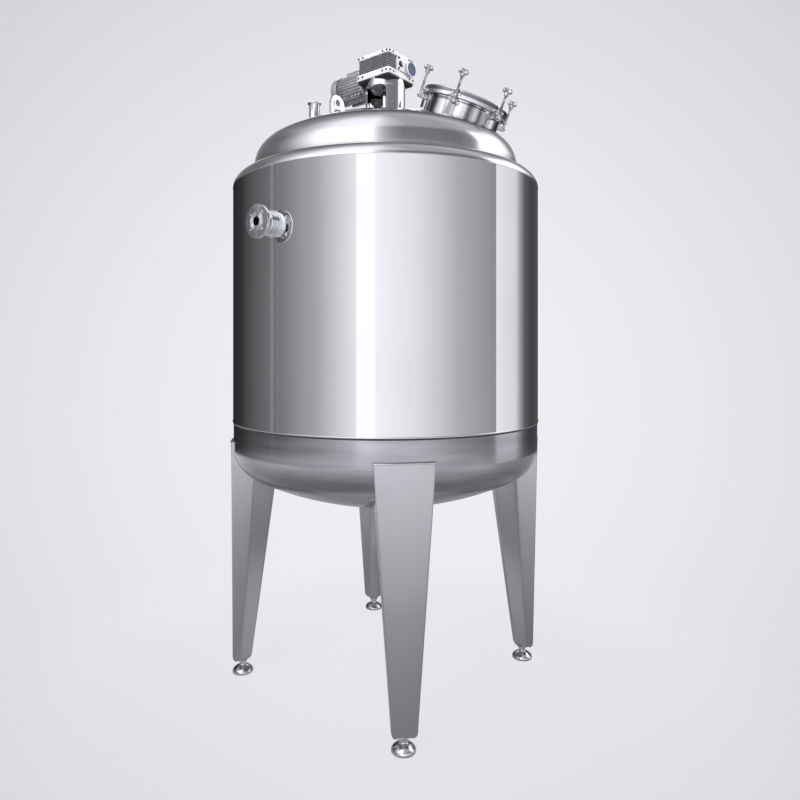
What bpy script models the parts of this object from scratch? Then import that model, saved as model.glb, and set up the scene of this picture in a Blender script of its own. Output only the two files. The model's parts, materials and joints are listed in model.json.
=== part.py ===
"""Jacketed mixing and dispensing tank on four legs, with a top-mounted agitator drive.

Units are metres and +Z is up. The origin lies on the tank's axis at floor level.
The four legs stand on the X and Y axes, and the drive motor points to azimuth 135 degrees.
"""

import math

import bmesh
import bpy
from mathutils import Matrix, Vector

# Outer shell of the tank
SHELL_R = 0.750
SHELL_T = 0.0025
SHELL_BOTTOM_Z = 1.244
SHELL_TOP_Z = 2.362
LAP = 0.015
SHELL_STEPS = 40

# Room for wool and heating jacket between shell and vessel
JACKET = 0.100

# Inner vessel that holds the liquid
VESSEL_R = SHELL_R - JACKET
VESSEL_T = 0.004
VESSEL_BOTTOM_Z = 1.170
VESSEL_TOP_Z = 2.440
TOP_FLANGE = 0.0365

# Heads are torispherical: crown radius and knuckle radius as shares of the diameter
CROWN_SHARE = 1.0
KNUCKLE_SHARE = 0.10
HEAD_DEPTH_SHARE = CROWN_SHARE - math.sqrt(
    (CROWN_SHARE - KNUCKLE_SHARE) ** 2 - (0.5 - KNUCKLE_SHARE) ** 2
)
HEAD_APEX_Z = VESSEL_TOP_Z + TOP_FLANGE + 2.0 * HEAD_DEPTH_SHARE * VESSEL_R
# Chords along crown and knuckle, on faces that show and on faces that don't
SHOWN_CHORDS = (5, 4)
HIDDEN_CHORDS = (3, 2)

# Outer bottom head
BASE_T = 0.003
BASE_TANGENT_DROP = 0.122
BASE_TANGENT_Z = SHELL_BOTTOM_Z - BASE_TANGENT_DROP

# Shoulder ring that closes the shell against the vessel
SHOULDER_T = 0.0025
SHOULDER_RISE = 0.070
SHOULDER_CHORDS = 4

# Legs: a folded and tapered six-sided tube with its flat face outwards
LEG_PROUD = 0.007
LEG_FACE_R = SHELL_R + LEG_PROUD
LEG_TOP_Z = 1.148
LEG_BOTTOM_Z = 0.067
LEG_TOP_WIDTH = 0.251
LEG_BOTTOM_WIDTH = 0.103
LEG_TOP_SIDE = 0.125
LEG_BOTTOM_SIDE = 0.046
LEG_TOP_SLANT = 0.112
LEG_BOTTOM_SLANT = 0.044
LEG_TOP_INNER = 0.086
LEG_BOTTOM_INNER = 0.040
LEG_FOLD = 0.010

# Adjustable feet
FOOT_SET_BACK = 0.049
FOOT_R = LEG_FACE_R - FOOT_SET_BACK
FOOT_PAD_RADIUS = 0.050
FOOT_PAD_EDGE = 0.009
FOOT_CONE_TOP = 0.028
FOOT_STEM_RADIUS = 0.0148

# Bottom outlet
OUTLET_RADIUS = 0.0255
OUTLET_WALL = 0.0020
OUTLET_LENGTH = 0.105
FERRULE_RADIUS = 0.0320
FERRULE_T = 0.0060

# Jacket nozzle with its bolted flange
NOZZLE_AZIMUTH = -135.0
NOZZLE_Z = 2.115
NOZZLE_PIPE_RADIUS = 0.0212
NOZZLE_BORE_RADIUS = 0.0193
NOZZLE_REACH = 0.082
NOZZLE_FACE_R = SHELL_R + NOZZLE_REACH
NOZZLE_FLANGE_RADIUS = 0.070
NOZZLE_FLANGE_T = 0.016
NOZZLE_RAISED_RADIUS = 0.039
NOZZLE_RAISED_T = 0.002
NOZZLE_BOLT_CIRCLE = 0.050
NOZZLE_BOLT_HOLE = 0.009
NOZZLE_SLEEVE_RADIUS = 0.054
NOZZLE_SLEEVE_REACH = 0.050
NOZZLE_SLEEVE_R = SHELL_R + NOZZLE_SLEEVE_REACH
NOZZLE_SLEEVE_DEPTH = 0.020

# Vent ferrule on the top head
VENT_AZIMUTH = -150.0
VENT_SET_BACK = 0.240
VENT_R = VESSEL_R - VENT_SET_BACK
VENT_RADIUS = 0.0255
VENT_WALL = 0.0020
VENT_PROUD = 0.0116
VENT_TOP_Z = HEAD_APEX_Z + VENT_PROUD
VENT_RIM_RADIUS = 0.0320
VENT_RIM_T = 0.0065

# Lifting lugs on the top head
LUG_AZIMUTHS = (-135.0, 45.0)
LUG_SET_BACK = 0.295
LUG_R = VESSEL_R - LUG_SET_BACK
LUG_WIDTH = 0.090
LUG_HEIGHT = 0.086
LUG_T = 0.012
LUG_HOLE_RADIUS = 0.015
LUG_HOLE_DROP = 0.036

# Manway on the top head, tilted a little more than the head under it
MANWAY_AZIMUTH = -35.0
MANWAY_SET_BACK = 0.253
MANWAY_R = VESSEL_R - MANWAY_SET_BACK
MANWAY_TILT = 22.3
MANWAY_TURN = -16.0
MANWAY_STEPS = 40
COLLAR_RADIUS = 0.184
COLLAR_T = 0.006
COLLAR_HEIGHT = 0.070
COLLAR_REACH = 0.050
COLLAR_RIM_RADIUS = 0.192
COLLAR_RIM_T = 0.008
GASKET_T = 0.006
GASKET_WIDTH = 0.012
LID_RADIUS = 0.207
LID_T = 0.004
LID_SKIRT = 0.008
LID_RING_HEIGHT = 0.028
LID_RING_INNER = 0.178
LID_DISH_RADIUS = 0.190
LID_DISH_RISE = 0.018
FORK_T = 0.006
FORK_WIDTH = 0.046
FORK_OVERHANG = 0.004
SLOT_CLEARANCE = 0.005

# Swing bolts and their pivots round the manway
BOLT_STATIONS = 6
BOLT_CIRCLE = 0.222
BOLT_PIVOT_Z = 0.050
BOLT_SHANK_RADIUS = 0.006
BOLT_EYE_RADIUS = 0.011
BOLT_EYE_WIDTH = 0.014
BOLT_PIN_RADIUS = 0.004
BOLT_PIN_CLEARANCE = 0.0004
BOLT_EAR_T = 0.006
BOLT_EAR_CLEARANCE = 0.0025
KNOB_UNDERSIDE = 0.116
KNOB_RADIUS = 0.025
KNOB_LOBE = 0.0035
KNOB_LOBES = 6
KNOB_T = 0.018
KNOB_HUB_RADIUS = 0.011
KNOB_HUB_LENGTH = 0.014

# Hinge of the manway lid
HINGE_R = 0.240
HINGE_Z = 0.092
HINGE_PIN_RADIUS = 0.005
HINGE_KNUCKLE_RADIUS = 0.014
HINGE_ARM_WIDTH = 0.040
HINGE_ARM_T = 0.022
HINGE_ARM_INNER_R = 0.191
HINGE_EAR_T = 0.008
HINGE_EAR_CLEARANCE = 0.0055
HINGE_EAR_RADIUS = 0.016

# Drive: pad, lantern, gearbox and motor on the tank's axis
PAD_RADIUS = 0.125
PAD_PROUD = 0.0156
PAD_TOP_Z = HEAD_APEX_Z + PAD_PROUD
PAD_BORE_RADIUS = 0.034
LANTERN_RADIUS = 0.101
LANTERN_T = 0.009
LANTERN_FOOT_RADIUS = 0.116
LANTERN_FOOT_T = 0.010
WINDOW_AZIMUTHS = (-135.0, 45.0)
WINDOW_HALF_ANGLE = 41.0
WINDOW_SILL = 0.022
WINDOW_TOP_GAP = 0.040
SEAL_RADIUS = 0.048
SEAL_BORE_RADIUS = 0.026
SEAL_HEIGHT = 0.060
LANTERN_HEIGHT = 0.187
GEAR_BASE_Z = PAD_TOP_Z + LANTERN_HEIGHT
GEAR_BASE_SIZE = 0.208
GEAR_BASE_T = 0.030
GEAR_BODY_SIZE = 0.194
GEAR_BODY_HEIGHT = 0.071
GEAR_LID_SIZE = 0.202
GEAR_LID_T = 0.020
GEAR_TURN = 135.0
GEAR_FINS = 8
GEAR_FIN_DEPTH = 0.005
BOSS_RADIUS = 0.029
BOSS_REACH = 0.022
BOSS_OFFSET = 0.064
BOSS_DROP = 0.005
BOSS_CAP_RADIUS = 0.037
BOSS_CAP_T = 0.008
BOSS_PLATE = 0.066
BOSS_PLATE_START = 0.036
BOSS_PLATE_END = 0.094
BOSS_PLATE_T = 0.010
MOTOR_RISE = 0.022
MOTOR_Z = GEAR_BASE_Z + MOTOR_RISE
MOTOR_RADIUS = 0.070
MOTOR_FIN_DEPTH = 0.009
MOTOR_FINS = 28
# Where a fin starts and ends and the root starts and ends, as shares of the fin pitch
MOTOR_FIN_SHARES = (0.0, 0.28, 0.36, 0.92)
MOTOR_FLANGE_RADIUS = 0.072
MOTOR_FLANGE_T = 0.014
MOTOR_LENGTH = 0.155
FAN_COVER_LENGTH = 0.052
FAN_COVER_RADIUS = 0.071
FAN_COVER_END_RADIUS = 0.061
FAN_COVER_BEND = 0.010
TERMINAL_LENGTH = 0.085
TERMINAL_WIDTH = 0.075
TERMINAL_HEIGHT = 0.022
TERMINAL_SINK = 0.004
TERMINAL_START = 0.030

# Agitator
SHAFT_RADIUS = 0.020
SHAFT_BOTTOM_Z = 1.330
SHAFT_CLEARANCE = 0.0005
IMPELLER_Z = 1.400
IMPELLER_RADIUS = 0.225
IMPELLER_HUB_RADIUS = 0.038
IMPELLER_HUB_HEIGHT = 0.080
IMPELLER_BLADES = 4
BLADE_WIDTH = 0.070
BLADE_T = 0.008
BLADE_PITCH = 45.0

# Sides of round pieces, from the large ones to small pins
ROUND_STEPS = 32
SMALL_STEPS = 24
PIN_STEPS = 20
EYE_STEPS = 16
TINY_STEPS = 12
EAR_ARC_STEPS = 10
FINE_STEPS = 8

# Gap that keeps two touching pieces apart
SEAT = 0.0003
MERGE = 0.00001
# How far a cutter runs past the face that it cuts
PAST = 0.010

PARTS = "dispensing_tank"
CUTTERS = "cutters"


def clear_scene():
    """Remove every object and the old collections of this model."""
    for item in list(bpy.data.objects):
        bpy.data.objects.remove(item, do_unlink=True)
    for name in (PARTS, CUTTERS):
        if name in bpy.data.collections:
            bpy.data.collections.remove(bpy.data.collections[name])


def collection(name):
    """Return the named collection, made when it is missing."""
    found = bpy.data.collections.get(name)
    if found is None:
        found = bpy.data.collections.new(name)
        bpy.context.scene.collection.children.link(found)
    return found


def material(name, colour, roughness, metallic):
    """Return a Principled material, shared by the pieces of one finish."""
    found = bpy.data.materials.get(name)
    if found is not None:
        return found
    made = bpy.data.materials.new(name)
    made.use_nodes = True
    shader = made.node_tree.nodes["Principled BSDF"]
    shader.inputs["Base Color"].default_value = (*colour, 1.0)
    shader.inputs["Roughness"].default_value = roughness
    shader.inputs["Metallic"].default_value = metallic
    return made


def mirror_steel():
    """Polished stainless sheet of the shell."""
    return material("polished_stainless_sheet", (0.72, 0.73, 0.75), 0.12, 1.0)


def satin_steel():
    """Satin stainless plate of heads, legs and fittings."""
    return material("satin_stainless_plate", (0.66, 0.67, 0.68), 0.32, 1.0)


def bright_steel():
    """Machined and polished stainless of bolts, knobs and feet."""
    return material("machined_stainless", (0.76, 0.77, 0.79), 0.20, 1.0)


def cast_aluminium():
    """Cast aluminium of the gearbox and motor."""
    return material("cast_aluminium", (0.55, 0.56, 0.58), 0.42, 0.9)


def blue_cap():
    """Blue plastic of the gearbox side cap."""
    return material("blue_plastic", (0.12, 0.17, 0.36), 0.40, 0.0)


def white_silicone():
    """White silicone of the manway gasket."""
    return material("white_silicone", (0.80, 0.80, 0.78), 0.55, 0.0)


def mineral_wool():
    """Mineral wool between the shell and the vessel."""
    return material("mineral_wool", (0.42, 0.38, 0.24), 0.95, 0.0)


def place(item, finish=None, parent=None, matrix=None, smooth=30.0):
    """Link a piece into the model, or a cutter when it has no finish."""
    target = collection(PARTS if finish else CUTTERS)
    target.objects.link(item)
    if finish:
        item.data.materials.clear()
        item.data.materials.append(finish)
        item.data.shade_smooth()
        item.data.set_sharp_from_angle(angle=math.radians(smooth))
    else:
        item.hide_render = True
        item.display_type = "WIRE"
    if parent:
        item.parent = parent
    if matrix is not None:
        item.matrix_local = matrix
    return item


def empty(name, matrix):
    """An empty that carries the pieces of one sub-assembly."""
    item = bpy.data.objects.new(name, None)
    collection(PARTS).objects.link(item)
    item.matrix_world = matrix
    return item


def from_bmesh(name, bm):
    """Turn a finished bmesh into an object that isn't linked yet."""
    bmesh.ops.recalc_face_normals(bm, faces=bm.faces)
    mesh = bpy.data.meshes.new(name)
    bm.to_mesh(mesh)
    bm.free()
    return bpy.data.objects.new(name, mesh)


def turned(name, profile, steps=ROUND_STEPS, closed=True):
    """A turned piece: the profile of (radius, z) points goes round the Z axis."""
    mesh = bpy.data.meshes.new(name)
    count = len(profile)
    edges = [(i, i + 1) for i in range(count - 1)]
    if closed:
        edges.append((count - 1, 0))
    mesh.from_pydata([(r, 0.0, z) for r, z in profile], edges, [])
    item = bpy.data.objects.new(name, mesh)
    screw = item.modifiers.new("turn", "SCREW")
    screw.steps = steps
    screw.render_steps = steps
    screw.use_merge_vertices = True
    screw.merge_threshold = MERGE
    return item


def cylinder(name, radius, low, high, steps=SMALL_STEPS):
    """A round bar along Z between two heights."""
    bm = bmesh.new()
    middle = Matrix.Translation((0.0, 0.0, (low + high) / 2.0))
    bmesh.ops.create_cone(
        bm, cap_ends=True, segments=steps, radius1=radius, radius2=radius,
        depth=high - low, matrix=middle,
    )
    return from_bmesh(name, bm)


def block(name, low, high):
    """A box between two corners."""
    bm = bmesh.new()
    low = Vector(low)
    size = Vector(high) - low
    middle = Matrix.Translation(low + size / 2.0)
    bmesh.ops.create_cube(bm, size=1.0, matrix=middle @ Matrix.Diagonal((*size, 1.0)))
    return from_bmesh(name, bm)


def plate(name, outline, thickness):
    """A flat plate in the XY plane, centred on Z, from a closed outline."""
    curve = bpy.data.curves.new(name, "CURVE")
    curve.dimensions = "2D"
    curve.fill_mode = "BOTH"
    curve.extrude = thickness / 2.0
    spline = curve.splines.new("POLY")
    spline.points.add(len(outline) - 1)
    for point, (x, y) in zip(spline.points, outline):
        point.co = (x, y, 0.0, 1.0)
    spline.use_cyclic_u = True
    drawn = bpy.data.objects.new(name + "_outline", curve)
    bpy.context.scene.collection.objects.link(drawn)
    bpy.context.view_layer.update()
    graph = bpy.context.evaluated_depsgraph_get()
    mesh = bpy.data.meshes.new_from_object(drawn.evaluated_get(graph))
    bpy.data.objects.remove(drawn, do_unlink=True)
    bm = bmesh.new()
    bm.from_mesh(mesh)
    bpy.data.meshes.remove(mesh)
    bmesh.ops.remove_doubles(bm, verts=bm.verts, dist=MERGE)
    return from_bmesh(name, bm)


def arc(centre_x, centre_y, radius, start, end, steps):
    """Points on an arc, with its angles in degrees."""
    points = []
    for i in range(steps + 1):
        angle = math.radians(start + (end - start) * i / steps)
        points.append((centre_x + radius * math.cos(angle), centre_y + radius * math.sin(angle)))
    return points


def combine(item, other, operation="DIFFERENCE"):
    """Cut another piece out of this one, or join it on."""
    step = item.modifiers.new(operation.lower(), "BOOLEAN")
    step.operation = operation
    step.solver = "EXACT"
    step.object = other
    return item


def spin_z(degrees):
    """A turn about the Z axis."""
    return Matrix.Rotation(math.radians(degrees), 4, "Z")


def shift(x=0.0, y=0.0, z=0.0):
    """A move without a turn."""
    return Matrix.Translation((x, y, z))


def lay_x():
    """Turn a piece made along Z so that it lies along X."""
    return Matrix.Rotation(math.radians(90.0), 4, "Y")


def lay_y():
    """Turn a piece made along Z so that it lies along Y."""
    return Matrix.Rotation(math.radians(-90.0), 4, "X")


def head_depth(radius):
    """Depth of a torispherical head of that outside radius, without its flange."""
    crown = 2.0 * radius * CROWN_SHARE
    knuckle = 2.0 * radius * KNUCKLE_SHARE
    across = radius - knuckle
    return crown - math.sqrt((crown - knuckle) ** 2 - across ** 2)


def head_curve(radius, offset, chords=SHOWN_CHORDS, start_r=0.0):
    """Points (radius, height over the tangent line) from the axis out to the flange.

    The crown is an arc about the axis and the knuckle an arc tangent to crown and flange.
    The offset moves the curve along its normal, inwards when it is negative.
    """
    crown_steps, knuckle_steps = chords
    crown = 2.0 * radius * CROWN_SHARE
    knuckle = 2.0 * radius * KNUCKLE_SHARE
    across = radius - knuckle
    meet = math.asin(across / (crown - knuckle))
    crown_z = head_depth(radius) - crown
    reach = crown + offset
    first = math.asin(start_r / reach)
    points = []
    for i in range(crown_steps + 1):
        angle = first + (meet - first) * i / crown_steps
        points.append((reach * math.sin(angle), crown_z + reach * math.cos(angle)))
    for i in range(1, knuckle_steps + 1):
        angle = meet + (math.pi / 2.0 - meet) * i / knuckle_steps
        bend = knuckle + offset
        points.append((across + bend * math.sin(angle), bend * math.cos(angle)))
    return points


def top_head_z(radius):
    """Height of the top head's crown at that distance from the axis."""
    crown = 2.0 * VESSEL_R * CROWN_SHARE
    apex = HEAD_APEX_Z
    return apex - crown + math.sqrt(crown ** 2 - radius ** 2)


def shoulder_curve(offset, chords):
    """Convex quarter ellipse from the vessel's edge out to the shell, moved inwards by offset."""
    inner = VESSEL_R + SEAT
    across = SHELL_R - inner
    points = []
    for i in range(chords + 1):
        angle = math.radians(90.0 * (1.0 - i / chords))
        radius = inner + (across - offset) * math.cos(angle)
        points.append((radius, SHELL_TOP_Z + (SHOULDER_RISE - offset) * math.sin(angle)))
    return points


def build_shell():
    """Polished shell, shoulder ring, outer bottom head and the wool behind them."""
    inner = SHELL_R - SHELL_T
    shell = turned(
        "cladding_shell",
        [(SHELL_R, SHELL_TOP_Z - SEAT), (SHELL_R, SHELL_BOTTOM_Z),
         (inner, SHELL_BOTTOM_Z), (inner, SHELL_TOP_Z - SEAT)],
        SHELL_STEPS,
    )
    place(shell, mirror_steel())
    combine(shell, nozzle_hole("nozzle_hole_shell", NOZZLE_PIPE_RADIUS + SEAT))

    lap_r = base_radius()
    outside = shoulder_curve(0.0, SHOULDER_CHORDS)
    inside = shoulder_curve(SHOULDER_T, SHOULDER_CHORDS)
    lip = [(lap_r, SHELL_TOP_Z), (lap_r, SHELL_TOP_Z - LAP)]
    back = [(lap_r - SHOULDER_T, SHELL_TOP_Z - LAP), (lap_r - SHOULDER_T, SHELL_TOP_Z)]
    ring = turned("shoulder_ring", outside + lip + back + inside[:-1][::-1], SHELL_STEPS)
    place(ring, satin_steel())

    hole = OUTLET_RADIUS + SEAT
    outer = base_curve(0.0, SHOWN_CHORDS, hole)
    under = base_curve(-BASE_T, HIDDEN_CHORDS, hole)
    rim_z = SHELL_BOTTOM_Z + LAP
    base = turned(
        "bottom_head",
        [(lap_r, rim_z)] + outer[::-1] + under + [(lap_r - BASE_T, rim_z)],
        SHELL_STEPS,
    )
    place(base, satin_steel())
    build_wool(hole)


def base_radius():
    """Outside radius of the bottom head, which laps inside the shell."""
    return SHELL_R - SHELL_T - SEAT


def base_curve(offset, chords, start_r=0.0):
    """Points of the outer bottom head from its lowest point out to its flange."""
    curve = head_curve(base_radius(), offset, chords, start_r)
    return [(r, BASE_TANGENT_Z - z) for r, z in curve]


def vessel_curve(offset, start_r):
    """Points of the vessel's bottom head from its lowest point out to its wall."""
    curve = head_curve(VESSEL_R, offset, HIDDEN_CHORDS, start_r)
    return [(r, VESSEL_BOTTOM_Z - z) for r, z in curve]


def top_curve(offset, chords, start_r=0.0):
    """Points of the top head from its crown out to its flange."""
    curve = head_curve(VESSEL_R, offset, chords, start_r)
    return [(r, VESSEL_TOP_Z + TOP_FLANGE + z) for r, z in curve]


def build_wool(hole):
    """Mineral wool that fills the space between shell and vessel."""
    low = base_curve(-BASE_T - SEAT, HIDDEN_CHORDS, hole)
    vessel = vessel_curve(SEAT, hole)
    top_z = SHELL_TOP_Z - LAP - SHOULDER_T
    outer_r = base_radius() - BASE_T - SEAT
    profile = [(outer_r, top_z)] + low[::-1] + vessel + [(VESSEL_R + SEAT, top_z)]
    wool = turned("insulation_wool", profile, SHELL_STEPS)
    place(wool, mineral_wool())
    combine(wool, nozzle_hole("nozzle_hole_wool", NOZZLE_PIPE_RADIUS + SEAT))


def nozzle_hole(name, radius):
    """Cutter along the jacket nozzle, from the vessel wall outwards."""
    hole = cylinder(name, radius, VESSEL_R - VESSEL_T / 2.0, NOZZLE_FACE_R + PAST)
    matrix = spin_z(NOZZLE_AZIMUTH) @ shift(z=NOZZLE_Z) @ lay_x()
    return place(hole, matrix=matrix)


def build_vessel():
    """Vessel wall, its bottom head and the top head with every opening cut through."""
    inner = VESSEL_R - VESSEL_T
    wall = turned(
        "vessel_wall",
        [(VESSEL_R, VESSEL_TOP_Z - SEAT), (VESSEL_R, VESSEL_BOTTOM_Z + SEAT),
         (inner, VESSEL_BOTTOM_Z + SEAT), (inner, VESSEL_TOP_Z - SEAT)],
        SHELL_STEPS,
    )
    place(wall, satin_steel())

    hole = OUTLET_RADIUS + SEAT
    profile = vessel_curve(0.0, hole)[::-1] + vessel_curve(-VESSEL_T, hole)
    bottom = turned("vessel_bottom", profile, SHELL_STEPS)
    place(bottom, satin_steel())

    outer = top_curve(0.0, SHOWN_CHORDS, PAD_BORE_RADIUS)
    under = top_curve(-VESSEL_T, HIDDEN_CHORDS, PAD_BORE_RADIUS)
    head = turned(
        "top_head",
        outer + [(VESSEL_R, VESSEL_TOP_Z), (inner, VESSEL_TOP_Z)] + under[::-1],
        SHELL_STEPS,
    )
    place(head, satin_steel())
    reach = COLLAR_HEIGHT + COLLAR_REACH
    neck = cylinder("manway_hole", COLLAR_RADIUS + SEAT, -reach, reach, MANWAY_STEPS)
    combine(head, place(neck, matrix=manway_matrix()))
    vent = cylinder("vent_hole", VENT_RADIUS + SEAT, VESSEL_TOP_Z + TOP_FLANGE, VENT_TOP_Z)
    combine(head, place(vent, matrix=spin_z(VENT_AZIMUTH) @ shift(x=VENT_R)))


def leg_section(width, side, slant, inner_width):
    """Six corners of the folded leg, seen from above, with X pointing outwards."""
    half = width / 2.0
    narrow = inner_width / 2.0
    fold = LEG_FACE_R - side
    back = fold - slant
    return [
        (LEG_FACE_R, -half), (LEG_FACE_R, half), (fold, half),
        (back, narrow), (back, -narrow), (fold, -half),
    ]


def build_legs():
    """Four folded legs, cut to the bottom head, each on its own adjustable foot."""
    head = base_curve(SEAT, SHOWN_CHORDS, OUTLET_RADIUS + SEAT)
    top = LEG_TOP_Z + PAST
    profile = [(0.0, top), (head[-1][0], top)] + head[::-1] + [(0.0, head[0][1])]
    cope = place(turned("leg_cope", profile, SHELL_STEPS, closed=False))
    upper = leg_section(LEG_TOP_WIDTH, LEG_TOP_SIDE, LEG_TOP_SLANT, LEG_TOP_INNER)
    lower = leg_section(LEG_BOTTOM_WIDTH, LEG_BOTTOM_SIDE, LEG_BOTTOM_SLANT, LEG_BOTTOM_INNER)
    for index in range(4):
        azimuth = -90.0 + 90.0 * index
        bm = bmesh.new()
        high = [bm.verts.new((x, y, LEG_TOP_Z)) for x, y in upper]
        low = [bm.verts.new((x, y, LEG_BOTTOM_Z)) for x, y in lower]
        bm.faces.new(high)
        bm.faces.new(low[::-1])
        for i in range(len(high)):
            after = (i + 1) % len(high)
            bm.faces.new((high[i], low[i], low[after], high[after]))
        leg = from_bmesh(f"leg_{index + 1}", bm)
        place(leg, satin_steel(), matrix=spin_z(azimuth))
        fold = leg.modifiers.new("folds", "BEVEL")
        fold.width = LEG_FOLD
        fold.segments = 2
        fold.limit_method = "ANGLE"
        fold.angle_limit = math.radians(30.0)
        combine(leg, cope)
        foot = turned(
            f"foot_{index + 1}",
            [(0.0, LEG_BOTTOM_Z - SEAT), (FOOT_STEM_RADIUS, LEG_BOTTOM_Z - SEAT),
             (FOOT_STEM_RADIUS, FOOT_CONE_TOP), (FOOT_PAD_RADIUS, FOOT_PAD_EDGE),
             (FOOT_PAD_RADIUS, 0.0), (0.0, 0.0)],
            SMALL_STEPS, closed=False,
        )
        place(foot, bright_steel(), matrix=spin_z(azimuth) @ shift(x=FOOT_R))


def ferrule(name, radius, wall, rim_radius, rim_t, low, high, rim_up):
    """A clamp ferrule: a pipe with a flat rim at its free end."""
    bore = radius - wall
    if rim_up:
        profile = [(rim_radius, high), (rim_radius, high - rim_t / 2.0), (radius, high - rim_t),
                   (radius, low), (bore, low), (bore, high)]
    else:
        profile = [(radius, high), (radius, low + rim_t), (rim_radius, low + rim_t / 2.0),
                   (rim_radius, low), (bore, low), (bore, high)]
    return turned(name, profile, SMALL_STEPS)


def build_fittings():
    """Bottom outlet, vent, jacket nozzle and lifting lugs."""
    vessel_low = VESSEL_BOTTOM_Z - head_depth(VESSEL_R)
    outlet = ferrule("bottom_outlet", OUTLET_RADIUS, OUTLET_WALL, FERRULE_RADIUS, FERRULE_T,
                     vessel_low - OUTLET_LENGTH, vessel_low + VESSEL_T, False)
    place(outlet, bright_steel())

    vent_low = top_head_z(VENT_R + VENT_RADIUS) - VESSEL_T - SEAT
    vent = ferrule("vent_ferrule", VENT_RADIUS, VENT_WALL, VENT_RIM_RADIUS, VENT_RIM_T,
                   vent_low - LAP, VENT_TOP_Z, True)
    place(vent, bright_steel(), matrix=spin_z(VENT_AZIMUTH) @ shift(x=VENT_R))
    build_nozzle()
    build_lugs()


def build_nozzle():
    """Jacket nozzle: sleeve on the shell, pipe and bolted flange."""
    along = spin_z(NOZZLE_AZIMUTH) @ shift(z=NOZZLE_Z) @ lay_x()
    neck = turned(
        "nozzle_sleeve",
        [(NOZZLE_SLEEVE_RADIUS, NOZZLE_SLEEVE_R), (NOZZLE_SLEEVE_RADIUS, SHELL_R - NOZZLE_SLEEVE_DEPTH),
         (NOZZLE_PIPE_RADIUS + SEAT, SHELL_R - NOZZLE_SLEEVE_DEPTH),
         (NOZZLE_PIPE_RADIUS + SEAT, NOZZLE_SLEEVE_R)],
        ROUND_STEPS,
    )
    place(neck, satin_steel(), matrix=along)
    shell = cylinder("sleeve_cope", SHELL_R + SEAT, NOZZLE_Z - 2.0 * NOZZLE_SLEEVE_RADIUS,
                     NOZZLE_Z + 2.0 * NOZZLE_SLEEVE_RADIUS, SHELL_STEPS)
    combine(neck, place(shell))

    pipe_end = NOZZLE_FACE_R - NOZZLE_FLANGE_T + NOZZLE_RAISED_T
    pipe = turned(
        "nozzle_pipe",
        [(NOZZLE_PIPE_RADIUS, pipe_end - SEAT), (NOZZLE_PIPE_RADIUS, VESSEL_R + LAP),
         (NOZZLE_BORE_RADIUS, VESSEL_R + LAP), (NOZZLE_BORE_RADIUS, pipe_end - SEAT)],
        SMALL_STEPS,
    )
    place(pipe, bright_steel(), matrix=along)

    step = NOZZLE_FACE_R - NOZZLE_RAISED_T
    flange = turned(
        "nozzle_flange",
        [(NOZZLE_RAISED_RADIUS, NOZZLE_FACE_R), (NOZZLE_RAISED_RADIUS, step),
         (NOZZLE_FLANGE_RADIUS, step), (NOZZLE_FLANGE_RADIUS, pipe_end),
         (NOZZLE_BORE_RADIUS, pipe_end), (NOZZLE_BORE_RADIUS, NOZZLE_FACE_R)],
        SMALL_STEPS,
    )
    place(flange, bright_steel(), matrix=along)
    for index in range(4):
        bolt = cylinder(f"flange_hole_{index + 1}", NOZZLE_BOLT_HOLE, pipe_end - PAST,
                        NOZZLE_FACE_R + PAST, TINY_STEPS)
        turn = spin_z(45.0 + 90.0 * index) @ shift(x=NOZZLE_BOLT_CIRCLE)
        combine(flange, place(bolt, matrix=along @ turn))


def build_lugs():
    """Lifting lugs: plates on edge with a round top and an eye, standing on the top head."""
    head = top_curve(SEAT, SHOWN_CHORDS, PAD_BORE_RADIUS)
    head = [(0.0, head[0][1])] + head + [(head[-1][0], SHELL_TOP_Z), (0.0, SHELL_TOP_Z)]
    cope = turned("head_cope", head, SHELL_STEPS, closed=False)
    place(cope)
    foot_z = top_head_z(LUG_R)
    radius = LUG_WIDTH / 2.0
    low = -LUG_HEIGHT / 2.0
    crown = LUG_HEIGHT - radius
    outline = [(-radius, low), (radius, low)] + arc(0.0, crown, radius, 0.0, 180.0, TINY_STEPS)
    for number, azimuth in enumerate(LUG_AZIMUTHS, 1):
        lug = plate(f"lifting_lug_{number}", outline, LUG_T)
        upright = Matrix.Rotation(math.radians(90.0), 4, "X")
        stand = spin_z(azimuth) @ shift(x=LUG_R, z=foot_z)
        place(lug, satin_steel(), matrix=stand @ upright)
        eye = cylinder(f"lug_eye_{number}", LUG_HOLE_RADIUS, -LUG_T, LUG_T, PIN_STEPS)
        combine(lug, place(eye, matrix=stand @ shift(z=LUG_HEIGHT - LUG_HOLE_DROP) @ upright))
        combine(lug, cope)


def manway_matrix():
    """Frame of the manway: Z along its axis and X from the hinge to the far swing bolt."""
    azimuth = spin_z(MANWAY_AZIMUTH)
    tilt = Matrix.Rotation(math.radians(MANWAY_TILT), 4, "Y")
    return azimuth @ shift(x=MANWAY_R, z=top_head_z(MANWAY_R)) @ tilt @ spin_z(MANWAY_TURN)


def rim_z():
    """Height of the lid's flat rim over the manway's foot, at its underside."""
    return COLLAR_HEIGHT + GASKET_T + 2.0 * SEAT


def bolt_angles():
    """Angles of the swing bolts. The station opposite the far bolt holds the hinge."""
    step = 360.0 / BOLT_STATIONS
    return [step * i for i in range(BOLT_STATIONS) if abs(step * i - 180.0) > 1.0]


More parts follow.
